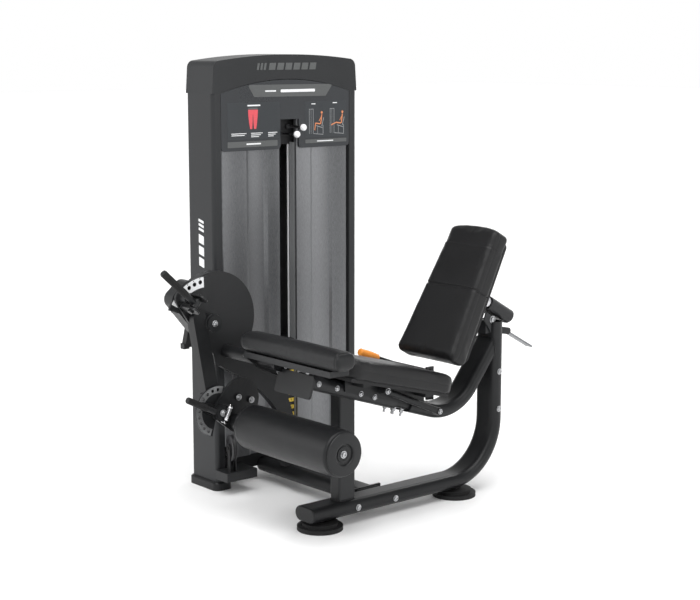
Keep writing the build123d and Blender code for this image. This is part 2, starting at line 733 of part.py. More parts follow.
def make_shin_handle():
    """Spring plunger for the roller's joint, with a round handle across its end."""
    pin = polar(ARM_FOOT, LOWER_HOLE_CIRCLE, 155)
    y, z = SHIN_HANDLE_TIP[0] - SHIN_HANDLE_ROOT[0], SHIN_HANDLE_TIP[1] - SHIN_HANDLE_ROOT[1]
    with BuildPart() as shin_handle:
        rod_x((-335 + PIN_GAP, -296), pin, 5)
        rod((-301, *SHIN_HANDLE_ROOT), (0, y, z), 9.5, hypot(y, z))
    return shin_handle


def make_leg_roller():
    with BuildPart() as leg_roller:
        rod_x((ROLLER_X[0] + 8, ROLLER_X[1] - 8), ROLLER_AXIS, ROLLER_RADIUS)
        fillet(leg_roller.edges().filter_by(GeomType.CIRCLE), 9)
        rod_x(ROLLER_X, ROLLER_AXIS, ROLLER_AXLE + RUNNING, Mode.SUBTRACT)
    return leg_roller


def make_roller_caps():
    """Moulded end caps with a recessed middle."""
    with BuildPart() as roller_caps:
        for x, sign in ((ROLLER_X[0], -1), (ROLLER_X[1], 1)):
            rod((x, *ROLLER_AXIS), (-sign, 0, 0), ROLLER_RADIUS - 10, 8)
            rod((x, *ROLLER_AXIS), (-sign, 0, 0), 30, 4, Mode.SUBTRACT)
        rod_x((ROLLER_X[0] - 1, ROLLER_X[1] + 1), ROLLER_AXIS, ROLLER_AXLE + RUNNING, Mode.SUBTRACT)
    return roller_caps


# ---- frame -------------------------------------------------------------
def oval_pair(plane, size=TUBE, wall=WALL):
    """Flat-oval tube section on a plane."""
    with BuildSketch(plane) as section:
        SlotOverall(*size)
        SlotOverall(size[0] - 2 * wall, size[1] - 2 * wall, mode=Mode.SUBTRACT)
    return section.sketch


def make_cross_tube():
    with BuildPart() as cross_tube:
        start = Plane(origin=(BEAM_X[1], 250, 54), x_dir=(0, 1, 0), z_dir=(1, 0, 0))
        extrude(oval_pair(start, (100, 52)), amount=-BEAM_X[1] - 64)
        block((-64, -56), (190, 310), (30, 84))
    return cross_tube


def make_rear_frame_tube():
    """Foot bar, bend and rear post, bent from one flat-oval tube, closed by an end plug."""
    with BuildPart() as rear_frame_tube:
        with BuildLine(Plane.YZ) as route:
            FilletPolyline(
                (FOOT_BAR_FRONT, FOOT_BAR_Z), (POST_Y, FOOT_BAR_Z), (POST_Y, POST_TOP), radius=BEND
            )
        sweep(oval_pair(tilted((FOOT_BAR_FRONT, FOOT_BAR_Z), 0)), path=route.line)
        block((-56, -46), (200, 300), (38, 80))
        with BuildSketch(tilted((FOOT_BAR_FRONT - END_CAP, FOOT_BAR_Z), 0)) as end_cap:
            SlotOverall(*TUBE)
        extrude(end_cap.sketch, amount=END_CAP)
        fillet(rear_frame_tube.faces().sort_by(Axis.Y)[0].edges(), END_CAP - 2)
    return rear_frame_tube


def make_levelling_feet():
    """Round rubber feet on threaded studs under the foot bar."""
    with BuildPart() as levelling_feet:
        for y, stud in ((0, 34), (602, 35)):
            rod((0, y, 0), (0, 0, 1), 75, 14)
            rod((0, y, 12), (0, 0, 1), 58, 12)
            rod((0, y, 20), (0, 0, 1), 10, stud - 20)
    return levelling_feet


def seat_tube_bottom(y):
    """Height of the seat tube's underside at y."""
    foot = along(SEAT_TUBE_START, SEAT_TILT, 0, -TUBE[1] / 2)
    return foot[1] - (y - foot[0]) * tan(radians(SEAT_TILT))


def make_front_post():
    front, back, top = 62, 130, FOOT_BAR_Z + TUBE[1] / 2
    with BuildPart() as front_post:
        outline = [(front, top), (back, top)]
        outline += [(y, seat_tube_bottom(y)) for y in (back, front)]
        plate_yz(outline, (-25, 25))
        fillet(front_post.edges().filter_by(Axis.Z), 8)
    return front_post


def make_seat_tube_front():
    with BuildPart() as seat_tube_front:
        extrude(oval_pair(tilted(SEAT_TUBE_START, SEAT_TILT)), amount=SEAT_TUBE_LENGTH)
    return seat_tube_front


def make_seat_tube_rear():
    """Bent stay from the seat tube's joint down and up to the rear post."""
    joint = along(SEAT_TUBE_START, SEAT_TILT, SEAT_TUBE_LENGTH)
    start = along(SEAT_TUBE_START, SEAT_TILT, SEAT_TUBE_LENGTH + SEAT_JOINT_LENGTH)
    rise = 230
    end = (STAY_CORNER[0] + rise, STAY_CORNER[1] + rise * tan(radians(STAY_RISE)))
    with BuildPart() as seat_tube_rear:
        with BuildLine(Plane.YZ) as route:
            FilletPolyline(start, STAY_CORNER, end, radius=STAY_BEND)
        sweep(oval_pair(tilted(start, SEAT_TILT)), path=route.line)
        extrude(oval_pair(tilted(joint, SEAT_TILT), (84, 36)), amount=SEAT_JOINT_LENGTH)
        for place, flange in ((joint, 6), (start, -6)):
            with BuildSketch(tilted(place, SEAT_TILT)):
                SlotOverall(*TUBE)
            extrude(amount=flange)
        block((-60, 60), (POST_Y - TUBE[1] / 2, 900), (300, 700), Mode.SUBTRACT)
    return seat_tube_rear


def make_head_plate():
    """Plate on the seat tube's front end, with the knee roll's bar and its tie to the column."""
    front = along(SEAT_TUBE_START, SEAT_TILT, 0)
    with BuildPart() as head_plate:
        with BuildSketch(tilted((front[0], front[1]), SEAT_TILT)) as face:
            with Locations((-40.5, 18)):
                RectangleRounded(181, 76, 12)
        extrude(amount=-8)
        block((-236, 200), (-122, -45), (547, 566))
        rod_x((COVER_X[1], -120), (-48, 528), 22)
        hull_yz([(-48, 528, 24), (-100, 552, 12)], (-262, -252))
        hull_yz([(-100, 550, 12), (-48, 524, 24), (30, 474, 14)], (-252, -244))
        block((-252, -232), (-112, -76), (540, 566))
        hull_yz([(-48, 528, 24), (-80, 530, 14)], (-130, -116))
    return head_plate


def make_knee_roll():
    with BuildPart() as knee_roll:
        with BuildSketch(yz(-KNEE_ROLL[0] / 2)):
            with Locations(KNEE_ROLL_CENTRE):
                RectangleRounded(KNEE_ROLL[1], KNEE_ROLL[2], 30)
        extrude(amount=KNEE_ROLL[0])
        fillet(knee_roll.edges().filter_by(Plane.YZ), 8)
    return knee_roll


def make_seat_board():
    """Plywood board under the cushion."""
    start = along(CUSHION_TOP, CUSHION_TILT, 12, -CUSHION[2] - BOARD / 2)
    with BuildPart() as seat_board:
        with BuildSketch(tilted(start, CUSHION_TILT)):
            Rectangle(CUSHION[0] - 30, BOARD)
        extrude(amount=CUSHION[1] - 24)
    return seat_board


def make_seat_cushion():
    start = along(CUSHION_TOP, CUSHION_TILT, 0, -CUSHION[2] / 2)
    with BuildPart() as seat_cushion:
        with BuildSketch(tilted(start, CUSHION_TILT)):
            RectangleRounded(CUSHION[0], CUSHION[2], 20)
        extrude(amount=CUSHION[1])
        fillet(seat_cushion.faces().sort_by(Axis.Y)[0].edges(), 12)
    return seat_cushion


def make_seat_gussets():
    """Side plates and lug that carry the seat board on the seat tube."""
    def board_underside(y):
        foot = along(CUSHION_TOP, CUSHION_TILT, 0, -CUSHION[2] - BOARD)
        return foot[1] - (y - foot[0]) * tan(radians(CUSHION_TILT))
    with BuildPart() as seat_gussets:
        for x in ((50, 56), (-56, -50)):
            rear, front = 404, 60
            top = [(y, board_underside(y)) for y in (rear, front)]
            plate_yz([*top, (front, top[1][1] - 42), (rear, top[0][1] - 52)], x, corner=4)
        for x in ((56, 110), (-110, -56)):
            for y in (90, 360):
                z = min(board_underside(y), board_underside(y + 30))
                tab = [(y, board_underside(y)), (y + 30, board_underside(y + 30))]
                plate_yz([*tab, (y + 30, z - 8), (y, z - 8)], x)
        plate_yz([(484, 352.5), (516, 350.5), (516, 466), (484, 466)], (-24, -16))
        rod_x((-25, -15), SEAT_LEVER_PIVOT, 7 + RUNNING, Mode.SUBTRACT)
    return seat_gussets


def make_seat_strut():
    """Round brace from the seat frame's side down to the stay."""
    start, end = Vector(76, 215, 440), Vector(70, 455, 334)
    with BuildPart() as seat_strut:
        rod(start, end - start, 11, (end - start).length)
        rod_x((56, 88), (start.Y, start.Z), 14)
        rod_x((50, 82), (end.Y, end.Z), 13)
    return seat_strut


def make_seat_lever():
    """Bar of the seat-side lever: from under the grip back to its cross shaft."""
    grip_end = Vector(SEAT_LEVER_X, *SEAT_LEVER_TIP)
    pivot = Vector(SEAT_LEVER_X, *SEAT_LEVER_PIVOT)
    with BuildPart() as seat_lever:
        rod(grip_end, pivot - grip_end, 7, (pivot - grip_end).length)
        with Locations(pivot):
            Sphere(7)
        rod_x((SEAT_LEVER_X, -10), SEAT_LEVER_PIVOT, 7)
    return seat_lever


def make_seat_lever_grip():
    grip_end = Vector(SEAT_LEVER_X, *SEAT_LEVER_TIP)
    direction = grip_end - Vector(SEAT_LEVER_X, *SEAT_LEVER_PIVOT)
    with BuildPart() as seat_lever_grip:
        rod(grip_end, direction, 14, 88)
        fillet(seat_lever_grip.edges().filter_by(GeomType.CIRCLE), 4)
    return seat_lever_grip


def make_post_gusset():
    """Plates and lock housing that tie the backrest sleeve to the rear post."""
    front, back = POST_Y - TUBE[1] / 2, POST_Y + TUBE[1] / 2
    with BuildPart() as post_gusset:
        for x in ((-32, -26), (26, 32)):
            plate_yz([(front - 34, 612), (front, 560), (front, 622), (front - 24, 638)], x)
        block((-26, 26), (front - 22, front), (560, 606))
        block((-24, 24), (back, back + 12), (540, 585))
        for x in ((-24, -16), (16, 24)):
            hull_yz([(back + 13, 562, 12), (LEVER_PIVOT[0], LEVER_PIVOT[1], 12)], x)
        rod_x((-24, 24), LEVER_PIVOT, 5)
    return post_gusset


def make_backrest_lever():
    """Flat release lever behind the post."""
    with BuildPart() as backrest_lever:
        rod_x((-15, 15), LEVER_PIVOT, 10)
        with BuildSketch(tilted(along(LEVER_PIVOT, 29, 4), 29)):
            Rectangle(30, 6)
        extrude(amount=LEVER_LENGTH - 4)
        fillet(backrest_lever.edges().sort_by(Axis.Y)[-1], 2)
        rod_x((-16, 16), LEVER_PIVOT, 5 + RUNNING, Mode.SUBTRACT)
    return backrest_lever


def make_backrest_sleeve():
    with BuildPart() as backrest_sleeve:
        start = along(SLEEVE_CENTRE, RECLINE, -SLEEVE[2] / 2)
        extrude(oval_pair(tilted(start, RECLINE), SLEEVE[:2], SLEEVE_WALL), amount=SLEEVE[2])
    return backrest_sleeve


def pad_plane(depth):
    """Plane parallel to the backrest's front face, a depth behind it."""
    place = along(PAD_BOTTOM, RECLINE, depth)
    return tilted(place, RECLINE)


def pad_outline(inset):
    """Backrest outline: narrower at the top, with a crowned upper edge."""
    low, high = PAD_WIDTH[0] / 2 - inset, PAD_WIDTH[1] / 2 - inset
    shoulder = inset - PAD_LENGTH + PAD_CROWN
    with BuildLine() as line:
        Line((-low, -inset), (low, -inset))
        Line((low, -inset), (high, shoulder))
        ThreePointArc((high, shoulder), (0, inset - PAD_LENGTH), (-high, shoulder))
        Line((-high, shoulder), (-low, -inset))
    make_face(line.edges())


def make_back_pad():
    with BuildPart() as back_pad:
        with BuildSketch(pad_plane(0)) as outline:
            pad_outline(0)
            fillet(outline.vertices(), 26)
        extrude(amount=PAD_THICK)
        fillet(back_pad.faces().sort_by(Axis.Y)[0].edges(), 14)
    return back_pad


def make_back_board():
    with BuildPart() as back_board:
        with BuildSketch(pad_plane(PAD_THICK)) as outline:
            pad_outline(12)
            fillet(outline.vertices(), 22)
        extrude(amount=BOARD)
    return back_board


def make_backrest_slide():
    """Inner tube that carries the backrest, with its mounting plate."""
    gap = 234 - PAD_THICK - BOARD
    start = along(SLEEVE_CENTRE, RECLINE, -gap)
    inner = (SLEEVE[0] - 2 * SLEEVE_WALL - 1.6, SLEEVE[1] - 2 * SLEEVE_WALL - 1.6)
    with BuildPart() as backrest_slide:
        with BuildSketch(tilted(start, RECLINE)):
            RectangleRounded(150, 170, 12)
        extrude(amount=6)
        extrude(oval_pair(tilted(start, RECLINE), inner, 3), amount=gap + SLEEVE[2] / 2 + 6)
    return backrest_slide


def make_frame_bolts():
    """Domed bolt heads on the seat frame and the two floor tubes."""
    side = TUBE[0] / 2
    with BuildPart() as frame_bolts:
        for place in ((122, 59), (285, 59), (768, 424), (768, 291)):
            rod_x((side, side + 7), place, 10)
        for distance, x in ((18, side), (96, side), (196, side + 6), (258, side + 6)):
            rod_x((x, x + 6), along(SEAT_TUBE_START, SEAT_TILT, distance), 9)
        for x in (-100, 14):
            y, z = along(SEAT_TUBE_START, SEAT_TILT, -8, 32)
            normal = (0, -cos(radians(SEAT_TILT)), sin(radians(SEAT_TILT)))
            rod((x, y, z), normal, 12, 8)
        for distance in (SEAT_TUBE_LENGTH + 20, SEAT_TUBE_LENGTH + 56):
            y, z = along(SEAT_TUBE_START, SEAT_TILT, distance, -18)
            for x in (-22, 22):
                rod((x, y, z), (0, -sin(radians(SEAT_TILT)), -cos(radians(SEAT_TILT))), 7, 26)
        fillet(frame_bolts.faces().sort_by(Axis.X)[-4:].edges(), 2)
    return frame_bolts


MAKERS = {
    "tower_base": make_tower_base,
    "tower_column_front": lambda: make_column(TOWER_Y[0], -1),
    "tower_column_rear": lambda: make_column(TOWER_Y[1] - COLUMN, 1),
    "tower_top_beam": make_tower_top_beam,
    "tower_cap": make_tower_cap,
    "display_panel": make_display_panel,
    "shroud_front": make_shroud_front,
    "shroud_rear": make_shroud_rear,
    "shroud_outer": make_shroud_outer,
    "guide_rods": make_guide_rods,
    "stack_bumpers": make_stack_bumpers,
    "resting_plates": lambda: make_weight_plates(0, RESTING),
    "lifted_plates": lambda: make_weight_plates(RESTING, LIFTED),
    "top_plate": make_top_plate,
    "selector_pin": make_selector_pin,
    "addon_shelf": make_addon_shelf,
    "addon_knob_upper": lambda: make_addon_knob(ADDON_KNOBS["upper"]),
    "addon_knob_lower": lambda: make_addon_knob(ADDON_KNOBS["lower"]),
    "cable": make_cable,
    "stack_cable": make_stack_cable,
    "pulley_brackets": make_pulley_brackets,
    "pulley_idler": lambda: make_pulley(0),
    "pulley_cam_side": lambda: make_pulley(1),
    "pulley_base": lambda: make_pulley(2),
    "pulley_top_front": lambda: make_pulley(3),
    "pulley_top_stack": lambda: make_pulley(4),
    "pivot_column": make_pivot_column,
    "pivot_bearings": make_pivot_bearings,
    "main_shaft": make_main_shaft,
    "drive_cam": make_drive_cam,
    "start_sector": make_start_sector,
    "swing_arm": make_swing_arm,
    "arm_clevis": make_arm_clevis,
    "start_handle": make_start_handle,
    "start_pin": make_start_pin,
    "roller_arm": make_roller_arm,
    "shin_handle": make_shin_handle,
    "leg_roller": make_leg_roller,
    "roller_caps": make_roller_caps,
    "cross_tube": make_cross_tube,
    "rear_frame_tube": make_rear_frame_tube,
    "levelling_feet": make_levelling_feet,
    "front_post": make_front_post,
    "seat_tube_front": make_seat_tube_front,
    "seat_tube_rear": make_seat_tube_rear,
    "head_plate": make_head_plate,
    "knee_roll": make_knee_roll,
    "seat_board": make_seat_board,
    "seat_cushion": make_seat_cushion,
    "seat_gussets": make_seat_gussets,
    "seat_strut": make_seat_strut,
    "seat_lever": make_seat_lever,
    "seat_lever_grip": make_seat_lever_grip,
    "post_gusset": make_post_gusset,
    "backrest_lever": make_backrest_lever,
    "backrest_sleeve": make_backrest_sleeve,
    "backrest_slide": make_backrest_slide,
    "back_board": make_back_board,
    "back_pad": make_back_pad,
    "frame_bolts": make_frame_bolts,
}

for node_name, maker in MAKERS.items():
    save(maker(), node_name)
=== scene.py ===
import json
from math import cos, exp, hypot, pi, radians, sin, tan

import bmesh
import bpy
from mathutils import Matrix, Vector, noise


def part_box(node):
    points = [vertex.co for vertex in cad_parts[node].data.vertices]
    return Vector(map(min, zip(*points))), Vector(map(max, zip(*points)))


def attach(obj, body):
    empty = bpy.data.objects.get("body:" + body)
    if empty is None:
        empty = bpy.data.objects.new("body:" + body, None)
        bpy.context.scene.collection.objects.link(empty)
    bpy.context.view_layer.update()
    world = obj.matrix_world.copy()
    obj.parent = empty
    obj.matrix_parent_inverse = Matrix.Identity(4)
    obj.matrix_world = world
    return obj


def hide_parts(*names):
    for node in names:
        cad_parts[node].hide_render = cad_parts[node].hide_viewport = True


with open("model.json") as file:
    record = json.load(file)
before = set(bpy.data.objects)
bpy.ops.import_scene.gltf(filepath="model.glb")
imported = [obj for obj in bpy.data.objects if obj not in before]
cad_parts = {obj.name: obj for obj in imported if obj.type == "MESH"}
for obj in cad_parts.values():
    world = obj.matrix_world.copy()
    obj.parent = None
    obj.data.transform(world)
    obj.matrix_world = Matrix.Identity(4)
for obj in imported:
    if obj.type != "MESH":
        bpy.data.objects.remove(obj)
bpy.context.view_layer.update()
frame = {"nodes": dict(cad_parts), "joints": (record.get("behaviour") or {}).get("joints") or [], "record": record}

# Looks of a seated leg extension machine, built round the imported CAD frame.
# Blender works in metres. Outlines and places are in millimetres and go through MM, apart from
# those of the floor, the lights and the camera, which are in metres.
MM = 0.001
scene = bpy.context.scene
JOINTS = {joint["name"]: joint for joint in frame["joints"]}


def node_centre(node):
    """Middle of a CAD node's box, in millimetres."""
    low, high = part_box(node)
    return (low + high) / 2 / MM


def node_limits(node):
    """Lowest and highest corner of a CAD node, in millimetres."""
    low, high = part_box(node)
    return low / MM, high / MM


def joint_place(name):
    """Where a joint turns, in millimetres."""
    return Vector(JOINTS[name]["pos_m"]) / MM


# ---- places and sizes ----
RIGHT, LEFT, UP = (1, 0, 0), (-1, 0, 0), (0, 0, 1)
PIVOT = node_centre("pivot_bearings")
ARM_FOOT = joint_place("shin_adjust")
ROLLER = node_centre("leg_roller")
SEAT_TILT = radians(18)
CUSHION_TILT = radians(14.7)
RECLINE = radians(29.7)
SECTOR_FACE = node_limits("start_sector")[1].x
ARM_FACE = -335.0
START_HOLE_CIRCLE = 133
START_HOLES = [138 - 10 * k for k in range(5)]
SHIN_HOLE_CIRCLE = 72
SHIN_HOLES = [155 + 17 * k for k in range(-4, 6)]
SEAT_TUBE_START = Vector((0, -59.4, 498.8))
PLATE_PITCH = 26
PLATE_MIDDLE = 12.5
BOTTOM_NUMBER = 14
PANEL_FACE = node_limits("display_panel")[1].x
SIDE_FACE = 50.0
SLOT_EDGE = 364.5
MARK_X = -660
MARK_WIDTH = 30
FIGURE_PLACE = (150, 1297)
PICTOGRAMS = ((450, 1277, 8), (546, 1277, 70))
PIN_HOLE_Y, LABEL_Y = 318, 350
BEAD_STEP = 3.0
BEAD_PITCH = 4.5
PAD_VOXEL = 5
CLOTH_FRAMES = 20
STITCH, STITCH_GAP, THREAD_RADIUS = 3.4, 2.2, 0.45


# ---- materials ----
def link(tree, source, output, target, field):
    """Joins one shader node's output to another's input."""
    tree.links.new(source.outputs[output], target.inputs[field])


def add_node(tree, kind, inputs=None):
    """Adds a shader node and sets the inputs given by name or number."""
    made = tree.nodes.new(f"ShaderNode{kind}")
    for field, value in (inputs or {}).items():
        made.inputs[field].default_value = value
    return made


def surface(name, dark, light, rough, grain, bump, metal=0.0, coat=0.0, mottle=6.0, stretch=(1, 1, 1),
            edge_wear_and_highlight=0.0, cells=0.0, shine=0.5, detail=5):
    """Procedural finish: mottled colour, uneven gloss, grain or cells in the surface, and convex edges lightened,
    part rubbed paint and part painted highlight.
    """
    made = bpy.data.materials.new(name)
    made.use_nodes = True
    tree = made.node_tree
    shader = tree.nodes["Principled BSDF"]
    shader.inputs["Metallic"].default_value = metal
    shader.inputs["Specular IOR Level"].default_value = shine
    shader.inputs["Coat Weight"].default_value = coat
    shader.inputs["Coat Roughness"].default_value = 0.12
    place = add_node(tree, "TexCoord")
    mapping = add_node(tree, "Mapping", {"Scale": stretch})
    link(tree, place, "Object", mapping, "Vector")
    broad = add_node(tree, "TexNoise", {"Scale": mottle, "Detail": detail})
    link(tree, mapping, "Vector", broad, "Vector")
    fine = add_node(tree, "TexNoise", {"Scale": grain, "Detail": 3})
    link(tree, mapping, "Vector", fine, "Vector")

    mix = add_node(tree, "Math", {1: 0.5})
    mix.operation = "MULTIPLY_ADD"
    link(tree, fine, "Fac", mix, 0)
    half = add_node(tree, "Math", {1: 0.5})
    half.operation = "MULTIPLY"
    link(tree, broad, "Fac", half, 0)
    link(tree, half, "Value", mix, 2)
    ramp = add_node(tree, "ValToRGB")
    first, last = ramp.color_ramp.elements
    first.position, first.color = 0.3, (*dark, 1)
    last.position, last.color = 0.7, (*light, 1)
    link(tree, mix, "Value", ramp, "Fac")
    colour = ramp
    # Lighter colour on convex edges, found by pointiness: part rubbed paint, part painted edge highlight.
    if edge_wear_and_highlight:
        geometry = add_node(tree, "NewGeometry")
        edge = add_node(tree, "MapRange", {"From Min": 0.54, "From Max": 0.66, "To Max": edge_wear_and_highlight})
        link(tree, geometry, "Pointiness", edge, "Value")
        rub_and_highlight = add_node(tree, "MixRGB", {"Color2": (*[min(1, c * 2.2 + 0.02) for c in light], 1)})
        link(tree, edge, "Result", rub_and_highlight, "Fac")
        link(tree, ramp, "Color", rub_and_highlight, "Color1")
        colour = rub_and_highlight
    link(tree, colour, "Color", shader, "Base Color")

    gloss = add_node(tree, "MapRange", {"To Min": rough - 0.06, "To Max": rough + 0.08})
    link(tree, broad, "Fac", gloss, "Value")
    link(tree, gloss, "Result", shader, "Roughness")

    height, output = fine, "Fac"
    if cells:
        height, output = add_node(tree, "TexVoronoi", {"Scale": cells}), "Distance"
        link(tree, mapping, "Vector", height, "Vector")
    relief = add_node(tree, "Bump", {"Strength": bump, "Distance": 0.0006})
    link(tree, height, output, relief, "Height")
    link(tree, relief, "Normal", shader, "Normal")
    return made


def rope_finish(name):
    """Coated steel rope: slanting strands under a thin skin."""
    made = surface(name, (0.014, 0.014, 0.015), (0.03, 0.03, 0.032), 0.35, 900, 0.2)
    tree = made.node_tree
    wave = add_node(tree, "TexWave", {"Scale": 160})
    wave.bands_direction = "DIAGONAL"
    link(tree, tree.nodes["Texture Coordinate"], "Object", wave, "Vector")
    strands = add_node(tree, "Bump", {"Strength": 0.5, "Distance": 0.0008})
    link(tree, wave, "Fac", strands, "Height")
    link(tree, tree.nodes["Bump"], "Normal", strands, "Normal")
    link(tree, strands, "Normal", tree.nodes["Principled BSDF"], "Normal")
    return made


# The edge setting lightens convex edges: part rubbed paint, part painted highlight.
FINISHES = {
    "frame_paint": dict(
        dark=(0.008, 0.0084, 0.009), light=(0.0135, 0.014, 0.015), rough=0.32, grain=700, bump=0.3,
        edge_wear_and_highlight=0.35, shine=0.24),
    "tower_paint": dict(
        dark=(0.013, 0.0138, 0.015), light=(0.019, 0.02, 0.0215), rough=0.38, grain=700, bump=0.3,
        edge_wear_and_highlight=0.2, shine=0.26),
    "panel_gloss": dict(
        dark=(0.012, 0.014, 0.017), light=(0.017, 0.02, 0.024), rough=0.28, grain=300, bump=0.03,
        coat=0.25, shine=0.4),
    # Shroud colour runs in tall streaks from dark to light grey: painted reflections running down the metal sheet.
    "shroud_sheet": dict(
        dark=(0.05, 0.052, 0.055), light=(0.3, 0.305, 0.315), rough=0.34, grain=3600, bump=0.04,
        metal=0.75, mottle=9, stretch=(1, 1, 0.02), detail=0),
    "steel_rod": dict(
        dark=(0.5, 0.5, 0.52), light=(0.68, 0.68, 0.7), rough=0.2, grain=500, bump=0.05, metal=1.0,
        stretch=(1, 1, 0.08)),
    "black_steel": dict(
        dark=(0.008, 0.008, 0.009), light=(0.016, 0.016, 0.017), rough=0.5, grain=400, bump=0.45,
        edge_wear_and_highlight=0.3, shine=0.3),
    "rubber_black": dict(
        dark=(0.006, 0.006, 0.006), light=(0.014, 0.014, 0.0145), rough=0.68, grain=450, bump=0.45,
        shine=0.3),
    "chrome_parts": dict(
        dark=(0.68, 0.68, 0.7), light=(0.82, 0.82, 0.84), rough=0.16, grain=350, bump=0.05, metal=1.0),
    "knob_plastic": dict(
        dark=(0.014, 0.014, 0.015), light=(0.024, 0.024, 0.026), rough=0.25, grain=300, bump=0.05,
        coat=0.5),
    "ball_plastic": dict(
        dark=(0.78, 0.79, 0.8), light=(0.88, 0.89, 0.9), rough=0.2, grain=200, bump=0.04, coat=0.5),
    "pulley_nylon": dict(
        dark=(0.02, 0.02, 0.022), light=(0.04, 0.04, 0.043), rough=0.45, grain=350, bump=0.2),
    "roller_foam": dict(
        dark=(0.008, 0.0083, 0.009), light=(0.013, 0.0134, 0.0145), rough=0.36, grain=420, bump=0.28,
        cells=900, shine=0.26),
    "roller_cap_plastic": dict(
        dark=(0.009, 0.0094, 0.01), light=(0.015, 0.0155, 0.0165), rough=0.32, grain=500, bump=0.25,
        shine=0.28),
    "upholstery": dict(
        dark=(0.0065, 0.0065, 0.007), light=(0.0115, 0.0115, 0.0122), rough=0.38, grain=260, bump=0.4,
        cells=620, mottle=9, shine=0.26),
    "board_plastic": dict(
        dark=(0.007, 0.007, 0.0075), light=(0.014, 0.014, 0.015), rough=0.55, grain=250, bump=0.4,
        shine=0.3),
    "light_steel": dict(
        dark=(0.16, 0.165, 0.175), light=(0.24, 0.245, 0.255), rough=0.36, grain=300, bump=0.15,
        metal=0.8, stretch=(0.1, 1, 1)),
    "grip_orange": dict(
        dark=(0.78, 0.25, 0.03), light=(0.9, 0.34, 0.05), rough=0.4, grain=400, bump=0.25),
    "bolt_steel": dict(
        dark=(0.34, 0.345, 0.355), light=(0.5, 0.505, 0.515), rough=0.26, grain=350, bump=0.08,
        metal=1.0, edge_wear_and_highlight=0.3),
    # Near-white strip on the slot flange's edge: painted highlight.
    "slot_edge_highlight": dict(
        dark=(0.8, 0.805, 0.81), light=(0.88, 0.885, 0.89), rough=0.3, grain=300, bump=0.05),
    "guard_flange": dict(
        dark=(0.2, 0.205, 0.21), light=(0.26, 0.265, 0.27), rough=0.5, grain=300, bump=0.15),
    "print_pale": dict(
        dark=(0.3, 0.31, 0.32), light=(0.38, 0.39, 0.4), rough=0.4, grain=400, bump=0.05),
    "print_white": dict(
        dark=(0.74, 0.75, 0.76), light=(0.84, 0.85, 0.86), rough=0.4, grain=400, bump=0.05),
    "print_grey": dict(
        dark=(0.07, 0.074, 0.074), light=(0.09, 0.094, 0.094), rough=0.4, grain=400, bump=0.05),
    "print_slate": dict(
        dark=(0.022, 0.026, 0.03), light=(0.028, 0.032, 0.036), rough=0.35, grain=400, bump=0.05,
        shine=0.4),
    "print_red": dict(
        dark=(0.62, 0.06, 0.08), light=(0.74, 0.1, 0.12), rough=0.4, grain=300, bump=0.05),
    "print_orange": dict(
        dark=(0.62, 0.2, 0.08), light=(0.74, 0.28, 0.12), rough=0.4, grain=300, bump=0.05),
    "print_yellow": dict(
        dark=(0.7, 0.5, 0.05), light=(0.82, 0.6, 0.08), rough=0.4, grain=300, bump=0.05),
    "scale_steel": dict(
        dark=(0.24, 0.245, 0.25), light=(0.34, 0.345, 0.35), rough=0.34, grain=300, bump=0.1,
        metal=0.7),
    "thread": dict(
        dark=(0.01, 0.01, 0.011), light=(0.02, 0.02, 0.021), rough=0.7, grain=900, bump=0.6),
    "socket_dark": dict(
        dark=(0.05, 0.05, 0.052), light=(0.09, 0.09, 0.092), rough=0.35, grain=300, bump=0.1,
        metal=0.8),
}
MATERIALS = {name: surface(name, **finish) for name, finish in FINISHES.items()}
MATERIALS["cable_coat"] = rope_finish("cable_coat")

SLOT_OF = {part["node"]: part["material_slot"] for part in frame["record"]["subparts"]}
for node, shown in frame["nodes"].items():
    shown.data.materials.clear()
    shown.data.materials.append(MATERIALS[SLOT_OF[node]])


# ---- mesh helpers ----
def piece(name, mesh, material, body, sharp=35):
    """Turns a mesh into a shown piece that rides on a CAD body."""
    obj = bpy.data.objects.new(name, mesh)
    scene.collection.objects.link(obj)
    mesh.materials.clear()
    mesh.materials.append(MATERIALS[material])
    mesh.shade_smooth()
    if sharp:
        mesh.set_sharp_from_angle(angle=radians(sharp))
    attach(obj, body)
    return obj


def ring_faces(rings, sides, closed=False):
    """Faces of a skin over rings of points, capped at both ends unless the rings form a closed loop."""
    faces = []
    for ring in range(rings if closed else rings - 1):
        base, following = ring * sides, (ring + 1) % rings * sides
        for side in range(sides):
            after = (side + 1) % sides
            faces.append((base + side, base + after, following + after, following + side))
    if not closed:
        faces.append(list(range(sides))[::-1])
        faces.append([(rings - 1) * sides + side for side in range(sides)])
    return faces


